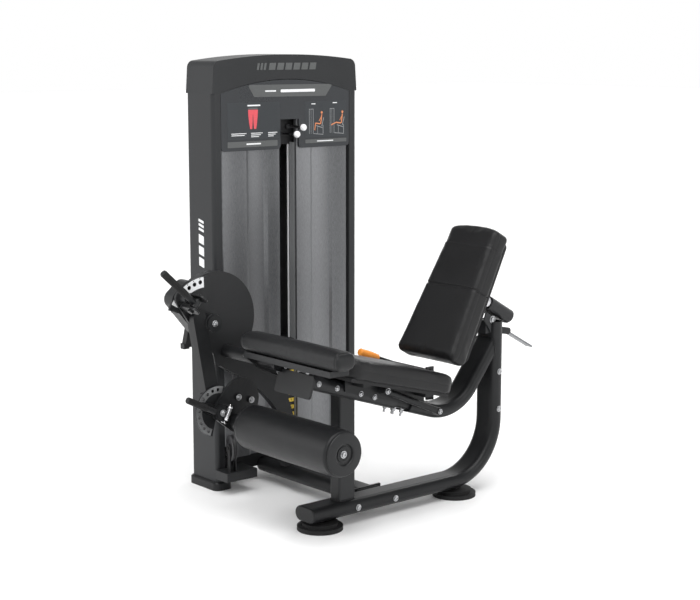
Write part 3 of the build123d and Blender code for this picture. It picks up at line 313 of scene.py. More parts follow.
class Shape:
    """Collects simple bodies, in millimetres, into one mesh."""

    def __init__(self):
        self.points, self.faces = [], []

    def add(self, points, faces):
        base = len(self.points)
        self.points += [Vector(p) for p in points]
        self.faces += [[base + i for i in face] for face in faces]

    def lathe(self, origin, direction, profile, sides=32, hexed=()):
        """Turned body: (radius, height) points; those listed in hexed have a six-sided outline."""
        w = Vector(direction).normalized()
        u = w.orthogonal().normalized()
        v = w.cross(u)
        origin = Vector(origin)
        points = []
        for index, (radius, height) in enumerate(profile):
            for side in range(sides):
                angle = 2 * pi * side / sides
                reach = radius
                if index in hexed:
                    reach = radius * cos(pi / 6) / cos((angle % (pi / 3)) - pi / 6)
                points.append(origin + w * height + (u * cos(angle) + v * sin(angle)) * reach)
        self.add(points, ring_faces(len(profile), sides))

    def tube(self, path, radius, sides=8, closed=False, ripple=0.0):
        """Round bar along a path; ripple swells it in even waves, as a weld bead does."""
        path = [Vector(p) for p in path]
        count = len(path)
        points, run = [], 0.0
        lift = Vector((0.13, 0.71, 0.69))
        for index, place in enumerate(path):
            before = path[index - 1] if index or closed else place
            after = path[(index + 1) % count] if index < count - 1 or closed else place
            forward = (after - before).normalized()
            side_axis = forward.cross(lift).normalized()
            up_axis = side_axis.cross(forward)
            run += (place - before).length if index else 0
            reach = radius * (1 + ripple * sin(2 * pi * run / BEAD_PITCH))
            for side in range(sides):
                angle = 2 * pi * side / sides
                points.append(place + (side_axis * cos(angle) + up_axis * sin(angle)) * reach)
        self.add(points, ring_faces(count, sides, closed))

    def mesh(self, name):
        made = bpy.data.meshes.new(name)
        made.from_pydata([p * MM for p in self.points], [], self.faces)
        shell = bmesh.new()
        shell.from_mesh(made)
        bmesh.ops.remove_doubles(shell, verts=shell.verts, dist=1e-6)
        bmesh.ops.recalc_face_normals(shell, faces=shell.faces)
        shell.to_mesh(made)
        shell.free()
        return made

    def show(self, name, material, body, slot=None, sharp=35):
        """Turns what was collected into a shown piece."""
        return piece(name, self.mesh(name), material, body, sharp)


def flat(name, loops, origin, across, up, thickness, material, body):
    """Thin plate or print from closed 2-D outlines; an outline inside another is a hole."""
    curve = bpy.data.curves.new(name, "CURVE")
    curve.dimensions = "2D"
    curve.fill_mode = "BOTH"
    curve.extrude = thickness / 2
    for loop in loops:
        spline = curve.splines.new("POLY")
        spline.points.add(len(loop) - 1)
        for point, (x, y) in zip(spline.points, loop):
            point.co = (x, y, 0, 1)
        spline.use_cyclic_u = True
    shape = bpy.data.objects.new(name, curve)
    mesh = bpy.data.meshes.new_from_object(shape)
    u, v = Vector(across), Vector(up)
    w = u.cross(v)
    turn = Matrix((u, v, w)).transposed().to_4x4()
    turn.translation = Vector(origin) + w * thickness / 2
    mesh.transform(turn)
    mesh.transform(Matrix.Scale(MM, 4))
    bpy.data.objects.remove(shape)
    bpy.data.curves.remove(curve)
    return piece(name, mesh, material, body)


def on_x_face(name, loops, x, material, body, thickness=0.4):
    """Print on a face that looks along +X: outlines are (y, z) points."""
    return flat(name, loops, (x, 0, 0), (0, 1, 0), UP, thickness, material, body)


def rounded(corners, radius, steps=6):
    """Convex outline with every corner rounded."""
    count, loop = len(corners), []
    for index in range(count):
        before, here, after = (Vector(corners[(index + k) % count]) for k in (-1, 0, 1))
        a, b = (before - here).normalized(), (after - here).normalized()
        half = a.angle(b) / 2
        if half > pi / 2 - 0.01:
            loop.append(tuple(here))
            continue
        middle = here + (a + b).normalized() * radius / sin(half)
        first = here + a * radius / tan(half)
        last = here + b * radius / tan(half)
        start, end = first - middle, last - middle
        sweep = start.angle_signed(end)
        for step in range(steps + 1):
            loop.append(tuple(middle + turned(start, -sweep * step / steps)))
    return loop


def turned(vector, angle):
    """2-D vector turned by an angle in radians."""
    return Vector((vector.x * cos(angle) - vector.y * sin(angle),
                   vector.x * sin(angle) + vector.y * cos(angle)))


def bar(low, high, radius=0.0):
    """Rectangle from its lowest to its highest corner, with optional round corners."""
    corners = [(low[0], low[1]), (high[0], low[1]), (high[0], high[1]), (low[0], high[1])]
    return rounded(corners, radius) if radius else corners


def disc(place, radius, steps=24):
    """Round outline."""
    return [(place[0] + radius * cos(2 * pi * k / steps), place[1] + radius * sin(2 * pi * k / steps))
            for k in range(steps)]


def polar(centre, radius, angle):
    """Point on a circle, at an angle in degrees."""
    return (centre[0] + radius * cos(radians(angle)), centre[1] + radius * sin(radians(angle)))


def ring_sector(centre, inner, outer, first, last):
    """Outline of a curved band between two radii and two angles in degrees."""
    steps = max(8, int(abs(last - first) / 4))
    angles = [first + (last - first) * k / steps for k in range(steps + 1)]
    return [polar(centre, outer, a) for a in angles] + [polar(centre, inner, a) for a in reversed(angles)]


# ---- bolts: turned outlines in head radii, and which of their points are six-sided ----
BUTTON = [(1.35, 0), (1.35, 0.12), (1.28, 0.18), (1.0, 0.18), (1.0, 0.4), (0.93, 0.58), (0.78, 0.7),
          (0.5, 0.76), (0.46, 0.76), (0.44, 0.46), (0.01, 0.42)]
BUTTON_HEX = (8, 9)
NUT = [(1.3, 0), (1.3, 0.14), (1.22, 0.18), (1.08, 0.18), (1.12, 0.3), (1.12, 0.95), (1.02, 1.05),
       (0.6, 1.05), (0.58, 1.3), (0.5, 1.4), (0.01, 1.4)]
NUT_HEX = (3, 4, 5, 6)
STUD = [(1.25, 0), (1.25, 0.5), (1.15, 0.6), (1.08, 0.6), (1.08, 1.9), (0.98, 2.0), (0.62, 2.0),
        (0.6, 3.7), (0.5, 3.85), (0.01, 3.85)]
STUD_HEX = (3, 4, 5)


def bolts(name, places, body, material="bolt_steel", profile=BUTTON, hexed=BUTTON_HEX):
    """Washers and heads at (place, direction, head radius)."""
    shape = Shape()
    for place, direction, radius in places:
        shape.lathe(place, direction, [(r * radius, h * radius) for r, h in profile], 36, hexed)
    return shape.show(name, material, body, sharp=28)


def down_tube(distance, rise, x):
    """Point along the sloping seat tube, from its front end's middle, raised square to it."""
    c, s = cos(SEAT_TILT), sin(SEAT_TILT)
    return SEAT_TUBE_START + Vector((x, distance * c + rise * s, -distance * s + rise * c))


def frame_bolts():
    """Heads on the frame's side and head plate, and studs under the seat tube's joint."""
    down = (0, -sin(SEAT_TILT), -cos(SEAT_TILT))
    forwards = (0, -cos(SEAT_TILT), sin(SEAT_TILT))
    places = [((SIDE_FACE, y, z), RIGHT, 8) for y, z in ((122, 59), (285, 59), (768, 424), (768, 291))]
    places += [(down_tube(distance, 0, x), RIGHT, 7)
               for distance, x in ((18, 50), (96, 50), (196, 56), (258, 56))]
    places += [(down_tube(-8, 32, x), forwards, 8) for x in (-100, 14)]
    obj = bolts("frame_bolt_heads", places, "frame")
    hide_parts("frame_bolts")
    under = [(down_tube(distance, -18, x), down, 6.5) for distance in (384, 420) for x in (-22, 22)]
    bolts("joint_studs", under, "frame", profile=STUD, hexed=STUD_HEX)


frame_bolts()
bolts("gusset_bolt", [((32, 748, 608), RIGHT, 10), ((-32, 748, 608), LEFT, 10)], "frame")
bolts("strut_bolt", [((88, 215, 440), RIGHT, 8), ((82, 455, 334), RIGHT, 7)], "frame")
bolts("hub_cap_bolt", [((-330, PIVOT.y, PIVOT.z), RIGHT, 8)], "arm")
bolts("roller_arm_bolts", [((-310, -92, 396), RIGHT, 8), ((-310, -40, 380), RIGHT, 8)], "roller_arm")
bolts("shin_pivot_nut", [((-302, ARM_FOOT.y, ARM_FOOT.z), RIGHT, 9)], "arm", profile=NUT, hexed=NUT_HEX)
bolts("tie_bolt", [((-244, -48, 524), RIGHT, 8), ((-244, 24, 478), RIGHT, 7)], "frame")
bolts("base_foot_bolts", [((x, y, 30), UP, 7) for x in (-716, -578) for y in (49, 591)], "frame")


# ---- pivot and roller scales ----
def start_scale():
    """White band pierced at each start hole, with a dark floor in every hole and a tick above it."""
    centre = (PIVOT.y, PIVOT.z)
    band = ring_sector(centre, 114, 148.5, 92, 152)
    holes = [disc(polar(centre, START_HOLE_CIRCLE, angle), 7.2) for angle in START_HOLES]
    on_x_face("start_scale_band", [band, *holes], SECTOR_FACE, "print_white", "cam", 0.6)
    dark = Shape()
    for angle in START_HOLES:
        y, z = polar(centre, START_HOLE_CIRCLE, angle)
        dark.lathe((SECTOR_FACE - 14, y, z), RIGHT, [(5.9, 0), (5.9, 0.6)], 20)
    dark.show("start_scale_hole_floors", "socket_dark", "cam", "chrome_parts")
    corners = ((143, -0.5), (147, -0.5), (147, 0.5), (143, 0.5))
    ticks = [[polar(centre, radius, angle + turn) for radius, turn in corners] for angle in START_HOLES]
    on_x_face("start_scale_ticks", ticks, SECTOR_FACE + 0.6, "panel_gloss", "cam", 0.2)


def shin_scale():
    """Bare steel band round the shin adjuster's holes."""
    centre = (ARM_FOOT.y, ARM_FOOT.z)
    band = ring_sector(centre, 61, 84, 72, 250)
    holes = [disc(polar(centre, SHIN_HOLE_CIRCLE, angle), 5.6, 20) for angle in SHIN_HOLES]
    on_x_face("shin_scale_band", [band, *holes], ARM_FACE, "scale_steel", "arm", 0.5)


start_scale()
shin_scale()


# ---- panel prints ----
def stroke(a, b, width):
    """Straight stroke of a drawing, as a thin four-cornered outline."""
    a, b = Vector(a), Vector(b)
    side = (b - a).normalized()
    side = Vector((-side.y, side.x)) * width / 2
    return [tuple(a - side), tuple(b - side), tuple(b + side), tuple(a + side)]


def slant(start, low, length, height, lean):
    """Leaning block: plain four-sided outline along the first direction."""
    return rounded([(start, low), (start + length, low), (start + length + lean, low + height),
                    (start + lean, low + height)], 1.5, 3)


MACHINE_STROKES = [
    (-30, -42, -30, 46, 1.3), (-22, -42, -22, 46, 0.9), (-12, -42, -12, 46, 1.3),
    (-29.4, 45, -12.6, 45, 1.3), (-10, -42, 34, -46, 1.6), (33, -44, 33, -12, 1.6),
    (2, -14, 30, -22, 2.0), (27, -16, 36, 14, 2.0), (8, -42, 8, -18, 1.2),
]


def pictogram(y, z, swing):
    """Small plain sketch of a seated user: pale machine strokes and an orange figure."""
    pale = [stroke((y + a, z + b), (y + c, z + d), width) for a, b, c, d, width in MACHINE_STROKES]
    knee = Vector((y - 2, z - 5))
    foot = knee + Vector((-sin(radians(swing)), -cos(radians(swing)))) * 25
    figure = [
        disc((y + 27, z + 32), 4.6, 16), stroke((y + 22, z - 8), (y + 27, z + 25), 4.2),
        stroke((y + 20, z - 8), knee, 4.2), stroke(knee, foot, 3.6),
        stroke((y + 25, z + 18), (y + 14, z + 2), 2.4),
    ]
    return pale, figure


def panel_prints():
    """Title band, two fields with bars for text, a leg figure and two pictograms."""
    x = PANEL_FACE
    title = rounded([(177, 1370), (495, 1368), (528, 1410), (150, 1412)], 5)
    on_x_face("panel_title_band", [title], x, "print_grey", "frame")
    on_x_face("panel_title_bars", [bar((224, 1387), (272, 1392), 2), bar((292, 1384), (446, 1394), 3)],
              x + 0.4, "print_white", "frame", 0.2)
    fields = [bar((62, 1226), (288, 1352), 4), bar((402, 1222), (592, 1350), 4)]
    on_x_face("panel_fields", fields, x, "print_slate", "frame", 0.25)
    strips = [bar((62, 1199), (277, 1219), 2), bar((402, 1202), (592, 1215), 2)]
    on_x_face("panel_strips", strips, x, "print_grey", "frame", 0.3)
    lines = [bar((147, 1339), (203, 1344), 2), bar((430, 1339), (448, 1342)), bar((528, 1341), (548, 1344))]
    for y, length, rows in ((78, 64, 2), (162, 50, 3), (236, 40, 3)):
        for row in range(rows):
            lines.append(bar((y, 1245 - 6 * row), (y + length - 8 * row, 1247.4 - 6 * row)))
    lines += [bar((142, 1207), (204, 1212), 1.5), bar((455, 1206.5), (530, 1210), 1.2)]
    on_x_face("panel_text_bars", lines, x + 0.3, "print_white", "frame", 0.2)
    thigh = [(0, 30), (1, 10), (4, -14), (8, -36), (17, -36), (19, -14), (20, 8), (21, 16), (22, 8),
             (23, -14), (25, -36), (34, -36), (38, -14), (41, 10), (42, 30)]
    hips = [(0, 31), (42, 31), (40, 37), (2, 37)]
    y, z = FIGURE_PLACE
    for name, outline, material in (("panel_muscle_figure", thigh, "print_red"),
                                    ("panel_hip_band", hips, "print_grey")):
        on_x_face(name, [[(y + a, z + b) for a, b in outline]], x + 0.25, material, "frame", 0.3)
    for index, place in enumerate(PICTOGRAMS):
        pale, figure = pictogram(*place)
        for part, loop in enumerate(pale):
            on_x_face(f"panel_pictogram_machine_{index}_{part}", [loop], x + 0.25 + 0.01 * part,
                      "print_pale", "frame", 0.1)
        for part, loop in enumerate(figure):
            on_x_face(f"panel_pictogram_user_{index}_{part}", [loop], x + 0.46 + 0.02 * part,
                      "print_orange", "frame", 0.15)


panel_prints()
cap_face = node_limits("tower_cap")[1].x
cap_badge = [slant(188 + 15 * k, 1462, 9, 24, 5) for k in range(3)]
cap_badge += [slant(240 + 36 * k, 1462, 28, 24, 5) for k in range(6)]
on_x_face("cap_badge_blocks", cap_badge, cap_face, "print_grey", "frame", 0.8)
column_low = node_limits("tower_column_front")[0]
column_mark = [slant(-955 + 15 * k, MARK_X, 9, MARK_WIDTH, 8) for k in range(3)]
column_mark += [slant(-902 + 40 * k, MARK_X, 30, MARK_WIDTH, 8) for k in range(3)]
flat("column_mark", column_mark, (0, column_low.y, 0), (0, 0, -1), RIGHT, 0.4, "print_white", "frame")


# ---- weight stack marks ----
def stack_labels():
    """On each plate a ringed pin hole, and a yellow label with the plate's number."""
    plate_face = node_limits("resting_plates")[1].x
    hole = [(8.5, 0), (8.5, 0.9), (7, 1.2), (6.8, 0.2), (6, 0)]
    number = BOTTOM_NUMBER
    for body, node, count in (("frame", "resting_plates", 9), ("stack", "lifted_plates", 4)):
        base = node_limits(node)[0].z
        heights = [base + PLATE_PITCH * index + PLATE_MIDDLE for index in range(count)]
        labels = [bar((LABEL_Y - 12, z - 7), (LABEL_Y + 12, z + 7), 2) for z in heights]
        on_x_face(f"plate_labels_{node}", labels, plate_face, "print_yellow", body, 0.3)
        dark = Shape()
        for z in heights:
            dark.lathe((plate_face - 0.5, PIN_HOLE_Y, z), RIGHT, hole, 24)
        dark.show(f"plate_hole_rings_{node}", "chrome_parts", body)
        for z in heights:
            text = bpy.data.curves.new(f"digits_{number}", "FONT")
            text.body = str(number)
            text.size = 13
            text.extrude = 0.15
            text.align_x, text.align_y = "CENTER", "CENTER"
            holder = bpy.data.objects.new("digits", text)
            mesh = bpy.data.meshes.new_from_object(holder)
            turn = Matrix(((0, 0, 1), (1, 0, 0), (0, 1, 0))).to_4x4()
            turn.translation = Vector((plate_face + 0.4, LABEL_Y, z))
            mesh.transform(turn)
            mesh.transform(Matrix.Scale(MM, 4))
            bpy.data.objects.remove(holder)
            piece(f"plate_number_{number}", mesh, "black_steel", body)
            number -= 1


stack_labels()


# ---- feet, caps, grips ----
def foot_studs():
    """Threaded studs and lock nuts over the two round feet."""
    thread = [(10.4, 24)]
    for turn in range(6):
        z = 24 + 1.5 * turn
        thread += [(10.4, z + 0.2), (11.2, z + 0.75), (10.4, z + 1.3)]
    nut = [(12, 0), (19, 0), (20, 0.8), (20, 6.4), (19, 7.2), (12, 7.2)]
    top = [(60, 23), (60, 25.4), (56, 26), (30, 26.3), (24, 27.2), (22, 24)]
    for index, y in enumerate((0, 602)):
        shape, ring = Shape(), Shape()
        shape.lathe((0, y, 0), UP, thread, 32)
        shape.lathe((0, y, 24), UP, nut, 36, (1, 2, 3, 4))
        shape.show(f"foot_stud_{index}", "chrome_parts", "frame")
        ring.lathe((0, y, 0), UP, top, 64)
        ring.show(f"foot_top_ring_{index}", "rubber_black", "frame")


def roller_ends():
    """Moulded caps: a shallow cone and a stepped recess, with a bolt in the outer one."""
    low, high = node_limits("roller_caps")
    profile = [(66, -9), (68.5, -7), (69, -4.5), (67.5, -2.6), (62, -1.6), (40, 0), (37, 0), (34.5, -1.2),
               (33, -4), (32.2, -7.4), (26, -7.8), (25, -5.4), (19, -5), (17, -7), (14, -7.4)]
    for name, x, direction in (("roller_cap_outer", high.x, RIGHT), ("roller_cap_inner", low.x, LEFT)):
        shape = Shape()
        shape.lathe((x, ROLLER.y, ROLLER.z), direction, profile, 72)
        obj = shape.show(name, "roller_cap_plastic", "leg_roller", sharp=40)
        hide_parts("roller_caps")
    bolts("roller_cap_bolt", [((high.x - 7.2, ROLLER.y, ROLLER.z), RIGHT, 9)], "roller_arm")


def leg_roller_soft():
    """Moulded foam roller: barely crowned, rounded shoulders, slightly uneven skin."""
    low, high = node_limits("leg_roller")
    half, middle, radius = (high.x - low.x) / 2, (high.x + low.x) / 2, 74.4
    shoulder, crown = 11, 0.9
    rings, sides = 90, 96
    points = []
    for ring in range(rings + 1):
        t = -1 + 2 * ring / rings
        x = half * (sin(t * pi / 2) * 0.35 + t * 0.65)
        edge = max(0.0, abs(x) - (half - shoulder)) / shoulder
        drop = 1 - (1 - edge ** 2) ** 0.5 if edge < 1 else 1
        reach = radius - shoulder * drop - crown * (x / half) ** 4
        for side in range(sides):
            angle = 2 * pi * side / sides
            spot = Vector((x / 60, cos(angle) * 1.6, sin(angle) * 1.6))
            wave = 0.45 * noise.noise(spot) + 0.12 * noise.noise(spot * 5)
            points.append((middle + x, ROLLER.y + (reach + wave) * cos(angle),
                           ROLLER.z + (reach + wave) * sin(angle)))
    shape = Shape()
    shape.add(points, ring_faces(rings + 1, sides))
    obj = shape.show("leg_roller_soft", "roller_foam", "leg_roller", sharp=50)
    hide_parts("leg_roller")


def grip(name, start, end, radius, body, ribs=22):
    """Rubber sleeve with fine ribs over the last part of a round handle, ending in a domed plug."""
    start, end = Vector(start), Vector(end)
    length = (end - start).length
    begin = length * 0.3
    profile = [(radius - 1.2, begin), (radius + 1.4, begin + 0.5), (radius + 1.8, begin + 3)]
    step = (length - begin - 14) / ribs
    for rib in range(ribs):
        at = begin + 6 + rib * step
        profile += [(radius + 1.1, at), (radius + 1.1, at + step * 0.45), (radius + 1.6, at + step * 0.55),
                    (radius + 1.6, at + step * 0.9)]
    profile += [(radius + 1.8, length - 6), (radius + 1.4, length - 2), (radius - 1, length - 0.4),
                (radius - 4, length)]
    shape = Shape()
    shape.lathe(start, end - start, profile, 32)
    shape.show(name, "rubber_black", body, sharp=45)


def knob_stems():
    """Bright steel stems and dark ferrules under the two ball knobs."""
    for body in ("upper", "lower"):
        low, high = node_limits(f"addon_knob_{body}")
        middle = (low + high) / 2
        stem, ferrule = Shape(), Shape()
        stem.lathe((low.x + 16, middle.y, middle.z), RIGHT, [(5, 0), (5.5, 0), (5.5, 73), (5, 73)], 24)
        ferrule.lathe((high.x - 30, middle.y, middle.z), RIGHT, [(5.5, 0), (7, 0.6), (7.6, 5), (6.8, 9)], 24)
        stem.show(f"addon_stem_{body}", "chrome_parts", f"addon_{body}")
        ferrule.show(f"addon_ferrule_{body}", "black_steel", f"addon_{body}")


foot_studs()
roller_ends()
knob_stems()
leg_roller_soft()
grip("start_handle_grip", (-318, -254, 725), (-318, -376.2, 837.2), 10.5, "start_handle")
grip("shin_handle_grip", (-301, -196, 364), (-301, -303, 418.5), 9.5, "shin_handle", ribs=16)


def seat_lever_grip_detail():
    """Orange moulded grip, fuller in the middle, with finger ribs and a collar."""
    length, ribs = 88, 9
    direction = Vector((0, -76, 29)).normalized()
    start = node_centre("seat_lever_grip") - direction * length / 2
    profile = [(8, 0), (11, 0.5), (12.4, 3), (11.2, 6), (12, 9)]
    for rib in range(ribs):
        at = 12 + rib * 7.4
        swell = 1.2 * sin(pi * rib / (ribs - 1))
        profile += [(12 + swell, at), (12.9 + swell, at + 2.2), (12.9 + swell, at + 4.4),
                    (12 + swell, at + 6.4)]
    profile += [(12.4, 80), (13.2, 84), (11.5, 87), (7, length)]
    shape = Shape()
    shape.lathe(start, direction, profile, 36)
    obj = shape.show("seat_lever_grip_moulded", "grip_orange", "seat_lever", sharp=50)
    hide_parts("seat_lever_grip")


seat_lever_grip_detail()


def shin_plunger():
    """Chrome spring plunger beside the shin handle, between two posts."""
    top, bottom = Vector((-296, -137, 374)), Vector((-296, -158, 326))
    axis = bottom - top
    along = axis.normalized()
    u = along.orthogonal()
    v = along.cross(u)
    shape = Shape()
    shape.lathe(top, axis, [(7, 0), (8, 1), (8, 6), (5, 7), (5, 9)], 24, (1, 2))
    coil, turns, steps = [], 7, 12
    for k in range(turns * steps + 1):
        angle = 2 * pi * k / steps
        rise = 9 + 30 * k / (turns * steps)
        coil.append(top + along * rise + (u * cos(angle) + v * sin(angle)) * 5.2)
    shape.tube(coil, 1.2, 6)
    shape.lathe(top + along * 8, axis, [(3.4, 0), (3.4, 33)], 16)
    shape.lathe(top + along * 39, axis, [(6, 0), (9, 0.6), (9, 6), (7, 8.4), (4, 9.6)], 24, (1, 2))
    for end in (top, bottom):
        shape.lathe((-318, end.y, end.z), RIGHT, [(6, 0), (6, 20), (8, 20.5), (8, 25), (6.5, 26.5)], 24,
                    (2, 3))
    shape.show("shin_plunger", "chrome_parts", "roller_arm")


shin_plunger()


# ---- welds ----
def oval_path(origin, across, up, size, end=None):
    """Points round a flat-oval section; end is its round ends' reach, half the height unless given."""
    u, v = Vector(across).normalized(), Vector(up).normalized()
    radius = size[1] / 2
    end = end or radius
    half = size[0] / 2 - end
    flat_steps, round_steps = max(2, int(2 * half / BEAD_STEP)), max(6, int(pi * radius / BEAD_STEP))
    ring = [(-half + 2 * half * k / flat_steps, radius) for k in range(flat_steps)]
    turns = [pi * k / round_steps for k in range(round_steps)]
    ring += [(half + end * sin(a), radius * cos(a)) for a in turns]
    ring += [(half - 2 * half * k / flat_steps, -radius) for k in range(flat_steps)]
    ring += [(-half - end * sin(a), -radius * cos(a)) for a in turns]
    return [Vector(origin) + u * a + v * b for a, b in ring]


def box_path(x, y, z):
    """Closely spaced points round a rectangle with round corners."""
    loop = rounded([(x[0], y[0]), (x[1], y[0]), (x[1], y[1]), (x[0], y[1])], 8.0, 5)
    path = []
    for index, point in enumerate(loop):
        after = loop[(index + 1) % len(loop)]
        count = max(1, int(hypot(after[0] - point[0], after[1] - point[1]) / BEAD_STEP))
        for k in range(count):
            t = k / count
            path.append((point[0] + (after[0] - point[0]) * t, point[1] + (after[1] - point[1]) * t, z))
    return path


def welds():
    """Rippled beads at the front post, the foot bar, the stay, the post gusset and the arm's hub."""
    bead = dict(radius=2.6, sides=8, closed=True, ripple=0.16)
    small = dict(radius=2.2, ripple=0.16)
    shape, pivot = Shape(), Shape()
    low, high = node_limits("front_post")
    shape.tube(box_path((low.x - 0.5, high.x + 0.5), (low.y - 0.5, high.y + 0.5), 84.8), **bead)
    shape.tube(oval_path((-52, 250, 54), (0, 1, 0), UP, (104, 50)), **bead)
    stay_height = 50 / cos(radians(51.4))
    shape.tube(oval_path((0, 743, 503.6), RIGHT, UP, (100, stay_height), 25), **bead)
    for x in (-24, -8):
        shape.tube([(x, 743.5, 560 + 4 * k) for k in range(10)], **small)
    shape.show("weld_beads", "frame_paint", "frame", sharp=0)
    turns = [2 * pi * k / 60 for k in range(60)]
    hub = [(-340, PIVOT.y + 28.6 * cos(a), PIVOT.z + 28.6 * sin(a)) for a in turns]
    pivot.tube(hub, closed=True, **small)
    pivot.show("hub_weld", "frame_paint", "arm", sharp=0)


welds()


# ---- soft goods ----
def inset_outline(corners, distance):
    """Convex, anticlockwise outline with every edge moved inwards."""
    count, moved = len(corners), []
    for index in range(count):
        before, here, after = (Vector(corners[(index + k) % count]) for k in (-1, 0, 1))
        a, b = (here - before).normalized(), (after - here).normalized()
        normal_a, normal_b = Vector((-a.y, a.x)), Vector((-b.y, b.x))
        bisector = (normal_a + normal_b).normalized()
        moved.append(tuple(here + bisector * distance / max(0.2, bisector.dot(normal_a))))
    return moved


def pad_block(corners, corner_radius, thickness, front_edge, back_edge, shrink):
    """Closed pad in its own axes: outline in x and y, thickness up z from 0; shrink leaves room to swell."""
    levels = [(back_edge * (1 - sin(angle)) + shrink, back_edge * (1 - cos(angle)))
              for angle in [pi / 2 * k / 5 for k in range(6)]]
    levels += [(front_edge * (1 - cos(angle)) + shrink, thickness - shrink - front_edge * (1 - sin(angle)))
               for angle in [pi / 2 * k / 6 for k in range(7)]]
    points, size = [], 0
    for inset, height in levels:
        loop = rounded(inset_outline(corners, inset), max(3.0, corner_radius - inset), 6)
        size = len(loop)
        points += [(x, y, height) for x, y in loop]
    shape = Shape()
    shape.add(points, ring_faces(len(levels), size))
    return shape.mesh("pad_block")


def apply_modifiers(obj):
    """Bakes an object's modifiers into its mesh."""
    shown = bpy.context.evaluated_depsgraph_get()
    mesh = bpy.data.meshes.new_from_object(obj.evaluated_get(shown))
    obj.modifiers.clear()
    obj.data = mesh


def swell(obj, pressure, cap):
    """Voxel remesh, then a short cloth run that fills the pad, with each point's travel capped in mm."""
    remesh = obj.modifiers.new("Remesh", "REMESH")
    remesh.mode = "VOXEL"
    remesh.voxel_size = PAD_VOXEL * MM
    apply_modifiers(obj)
    before = [v.co.copy() for v in obj.data.vertices]
    cloth = obj.modifiers.new("Cloth", "CLOTH")
    cloth.settings.use_pressure = True
    cloth.settings.uniform_pressure_force = pressure
    cloth.settings.quality = 5
    cloth.settings.effector_weights.gravity = 0
    cloth.point_cache.frame_start, cloth.point_cache.frame_end = 1, CLOTH_FRAMES
    for step in range(1, CLOTH_FRAMES + 1):
        scene.frame_set(step)
    apply_modifiers(obj)
    scene.frame_set(1)
    for vertex, start in zip(obj.data.vertices, before):
        travel = vertex.co - start
        if travel.length > cap * MM:
            vertex.co = start + travel.normalized() * cap * MM
    smooth = obj.modifiers.new("Smooth", "SMOOTH")
    smooth.factor, smooth.iterations = 0.5, 3
    fine = obj.modifiers.new("Subdivision", "SUBSURF")
    fine.levels = fine.render_levels = 1
    apply_modifiers(obj)


def groove(obj, depth_at):
    """Moves each point inwards along its normal by depth_at(point), in millimetres."""
    moves = [(v, v.normal.copy(), depth_at(v.co / MM)) for v in obj.data.vertices]
    for vertex, normal, depth in moves:
        vertex.co -= normal * depth * MM


def dip(distance, depth, width):
    """Depth of a smooth valley at a distance from its line."""
    return depth * exp(-((distance / width) ** 2))


def soft_piece(name, mesh, place, pressure, cap, depth_at, material, body, node):
    """A pad: made in its own axes, swollen, seamed, then put in place on its body."""
    obj = bpy.data.objects.new("unplaced_pad", mesh)
    scene.collection.objects.link(obj)
    swell(obj, pressure, cap)
    groove(obj, depth_at)
    obj.data.transform(place)
    made = piece(name, obj.data, material, body, sharp=0)
    bpy.data.objects.remove(obj)
    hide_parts(node)


def pad_place(centre, facing):
    """Matrix from a pad's own axes (x across, y along, z outwards) to the machine's."""
    across, outwards = Vector(RIGHT), Vector(facing)
    along = outwards.cross(across)
    turn = Matrix((across, along, outwards)).transposed().to_4x4()
    turn.translation = Vector(centre) * MM
    return turn


def stitches(name, path, normal, body):
    """Row of short thread stitches along a path."""
    shape = Shape()
    path = [Vector(p) for p in path]
    pitch = STITCH + STITCH_GAP
    lift = Vector(normal).normalized() * 0.5
    for a, b in zip(path, path[1:]):
        run = (b - a).length
        for k in range(int(run / pitch)):
            start = a + (b - a) * ((k + 0.2) * pitch / run)
            end = start + (b - a).normalized() * STITCH
            near, far = start + (end - start) * 0.25 + lift, start + (end - start) * 0.75 + lift
            shape.tube([start, near, far, end], THREAD_RADIUS, 6)
    shape.show(name, "thread", body, "upholstery", sharp=0)


def back_pad_soft():
    """Backrest: tapered pad with a seam across its middle, edge seams and a stepped top panel."""
    length, thick, wide, narrow, crown = 503, 72, 149, 119, 24
    outwards = Vector((0, -cos(RECLINE), sin(RECLINE)))
    place = pad_place(node_centre("back_pad") - outwards * thick / 2, outwards)
    half = length / 2
    arch = [(narrow * cos(a), half - crown + crown * sin(a) ** 0.8) for a in [pi * k / 8 for k in range(9)]]
    mesh = pad_block([(-wide, -half), (wide, -half), *arch], 26, thick, 15, 12, 2.5)
    seam, step_line = -half + 0.52 * length, -half + 0.83 * length
    welt_from, welt, front_from = 16, 45, 60

    def side_at(y):
        return wide + (narrow - wide) * (y + half) / length

    def depth_at(p):
        depth = dip(p.y - seam, 4.2, 3.0)
        if p.z > welt_from:
            depth += dip(p.z - welt, 0.7, 2.4)
        if p.y > step_line:
            depth += 1.9
        depth += dip(p.y - step_line, 0.7, 2.5)
        if p.z > front_from:
            depth += dip(abs(p.x) - (side_at(p.y) - 17), 0.8, 2.5)
        return depth

    soft_piece("back_pad_soft", mesh, place, 4, 5, depth_at, "upholstery", "backrest", "back_pad")
    for index, offset in enumerate((-4.2, 4.2)):
        y = seam + offset
        edge = side_at(y) - 22
        row = [place @ (Vector((x, y, thick + 0.2)) * MM) / MM for x in (-edge, -edge / 3, edge / 3, edge)]
        stitches(f"back_pad_stitches_{index}", row, outwards, "backrest")


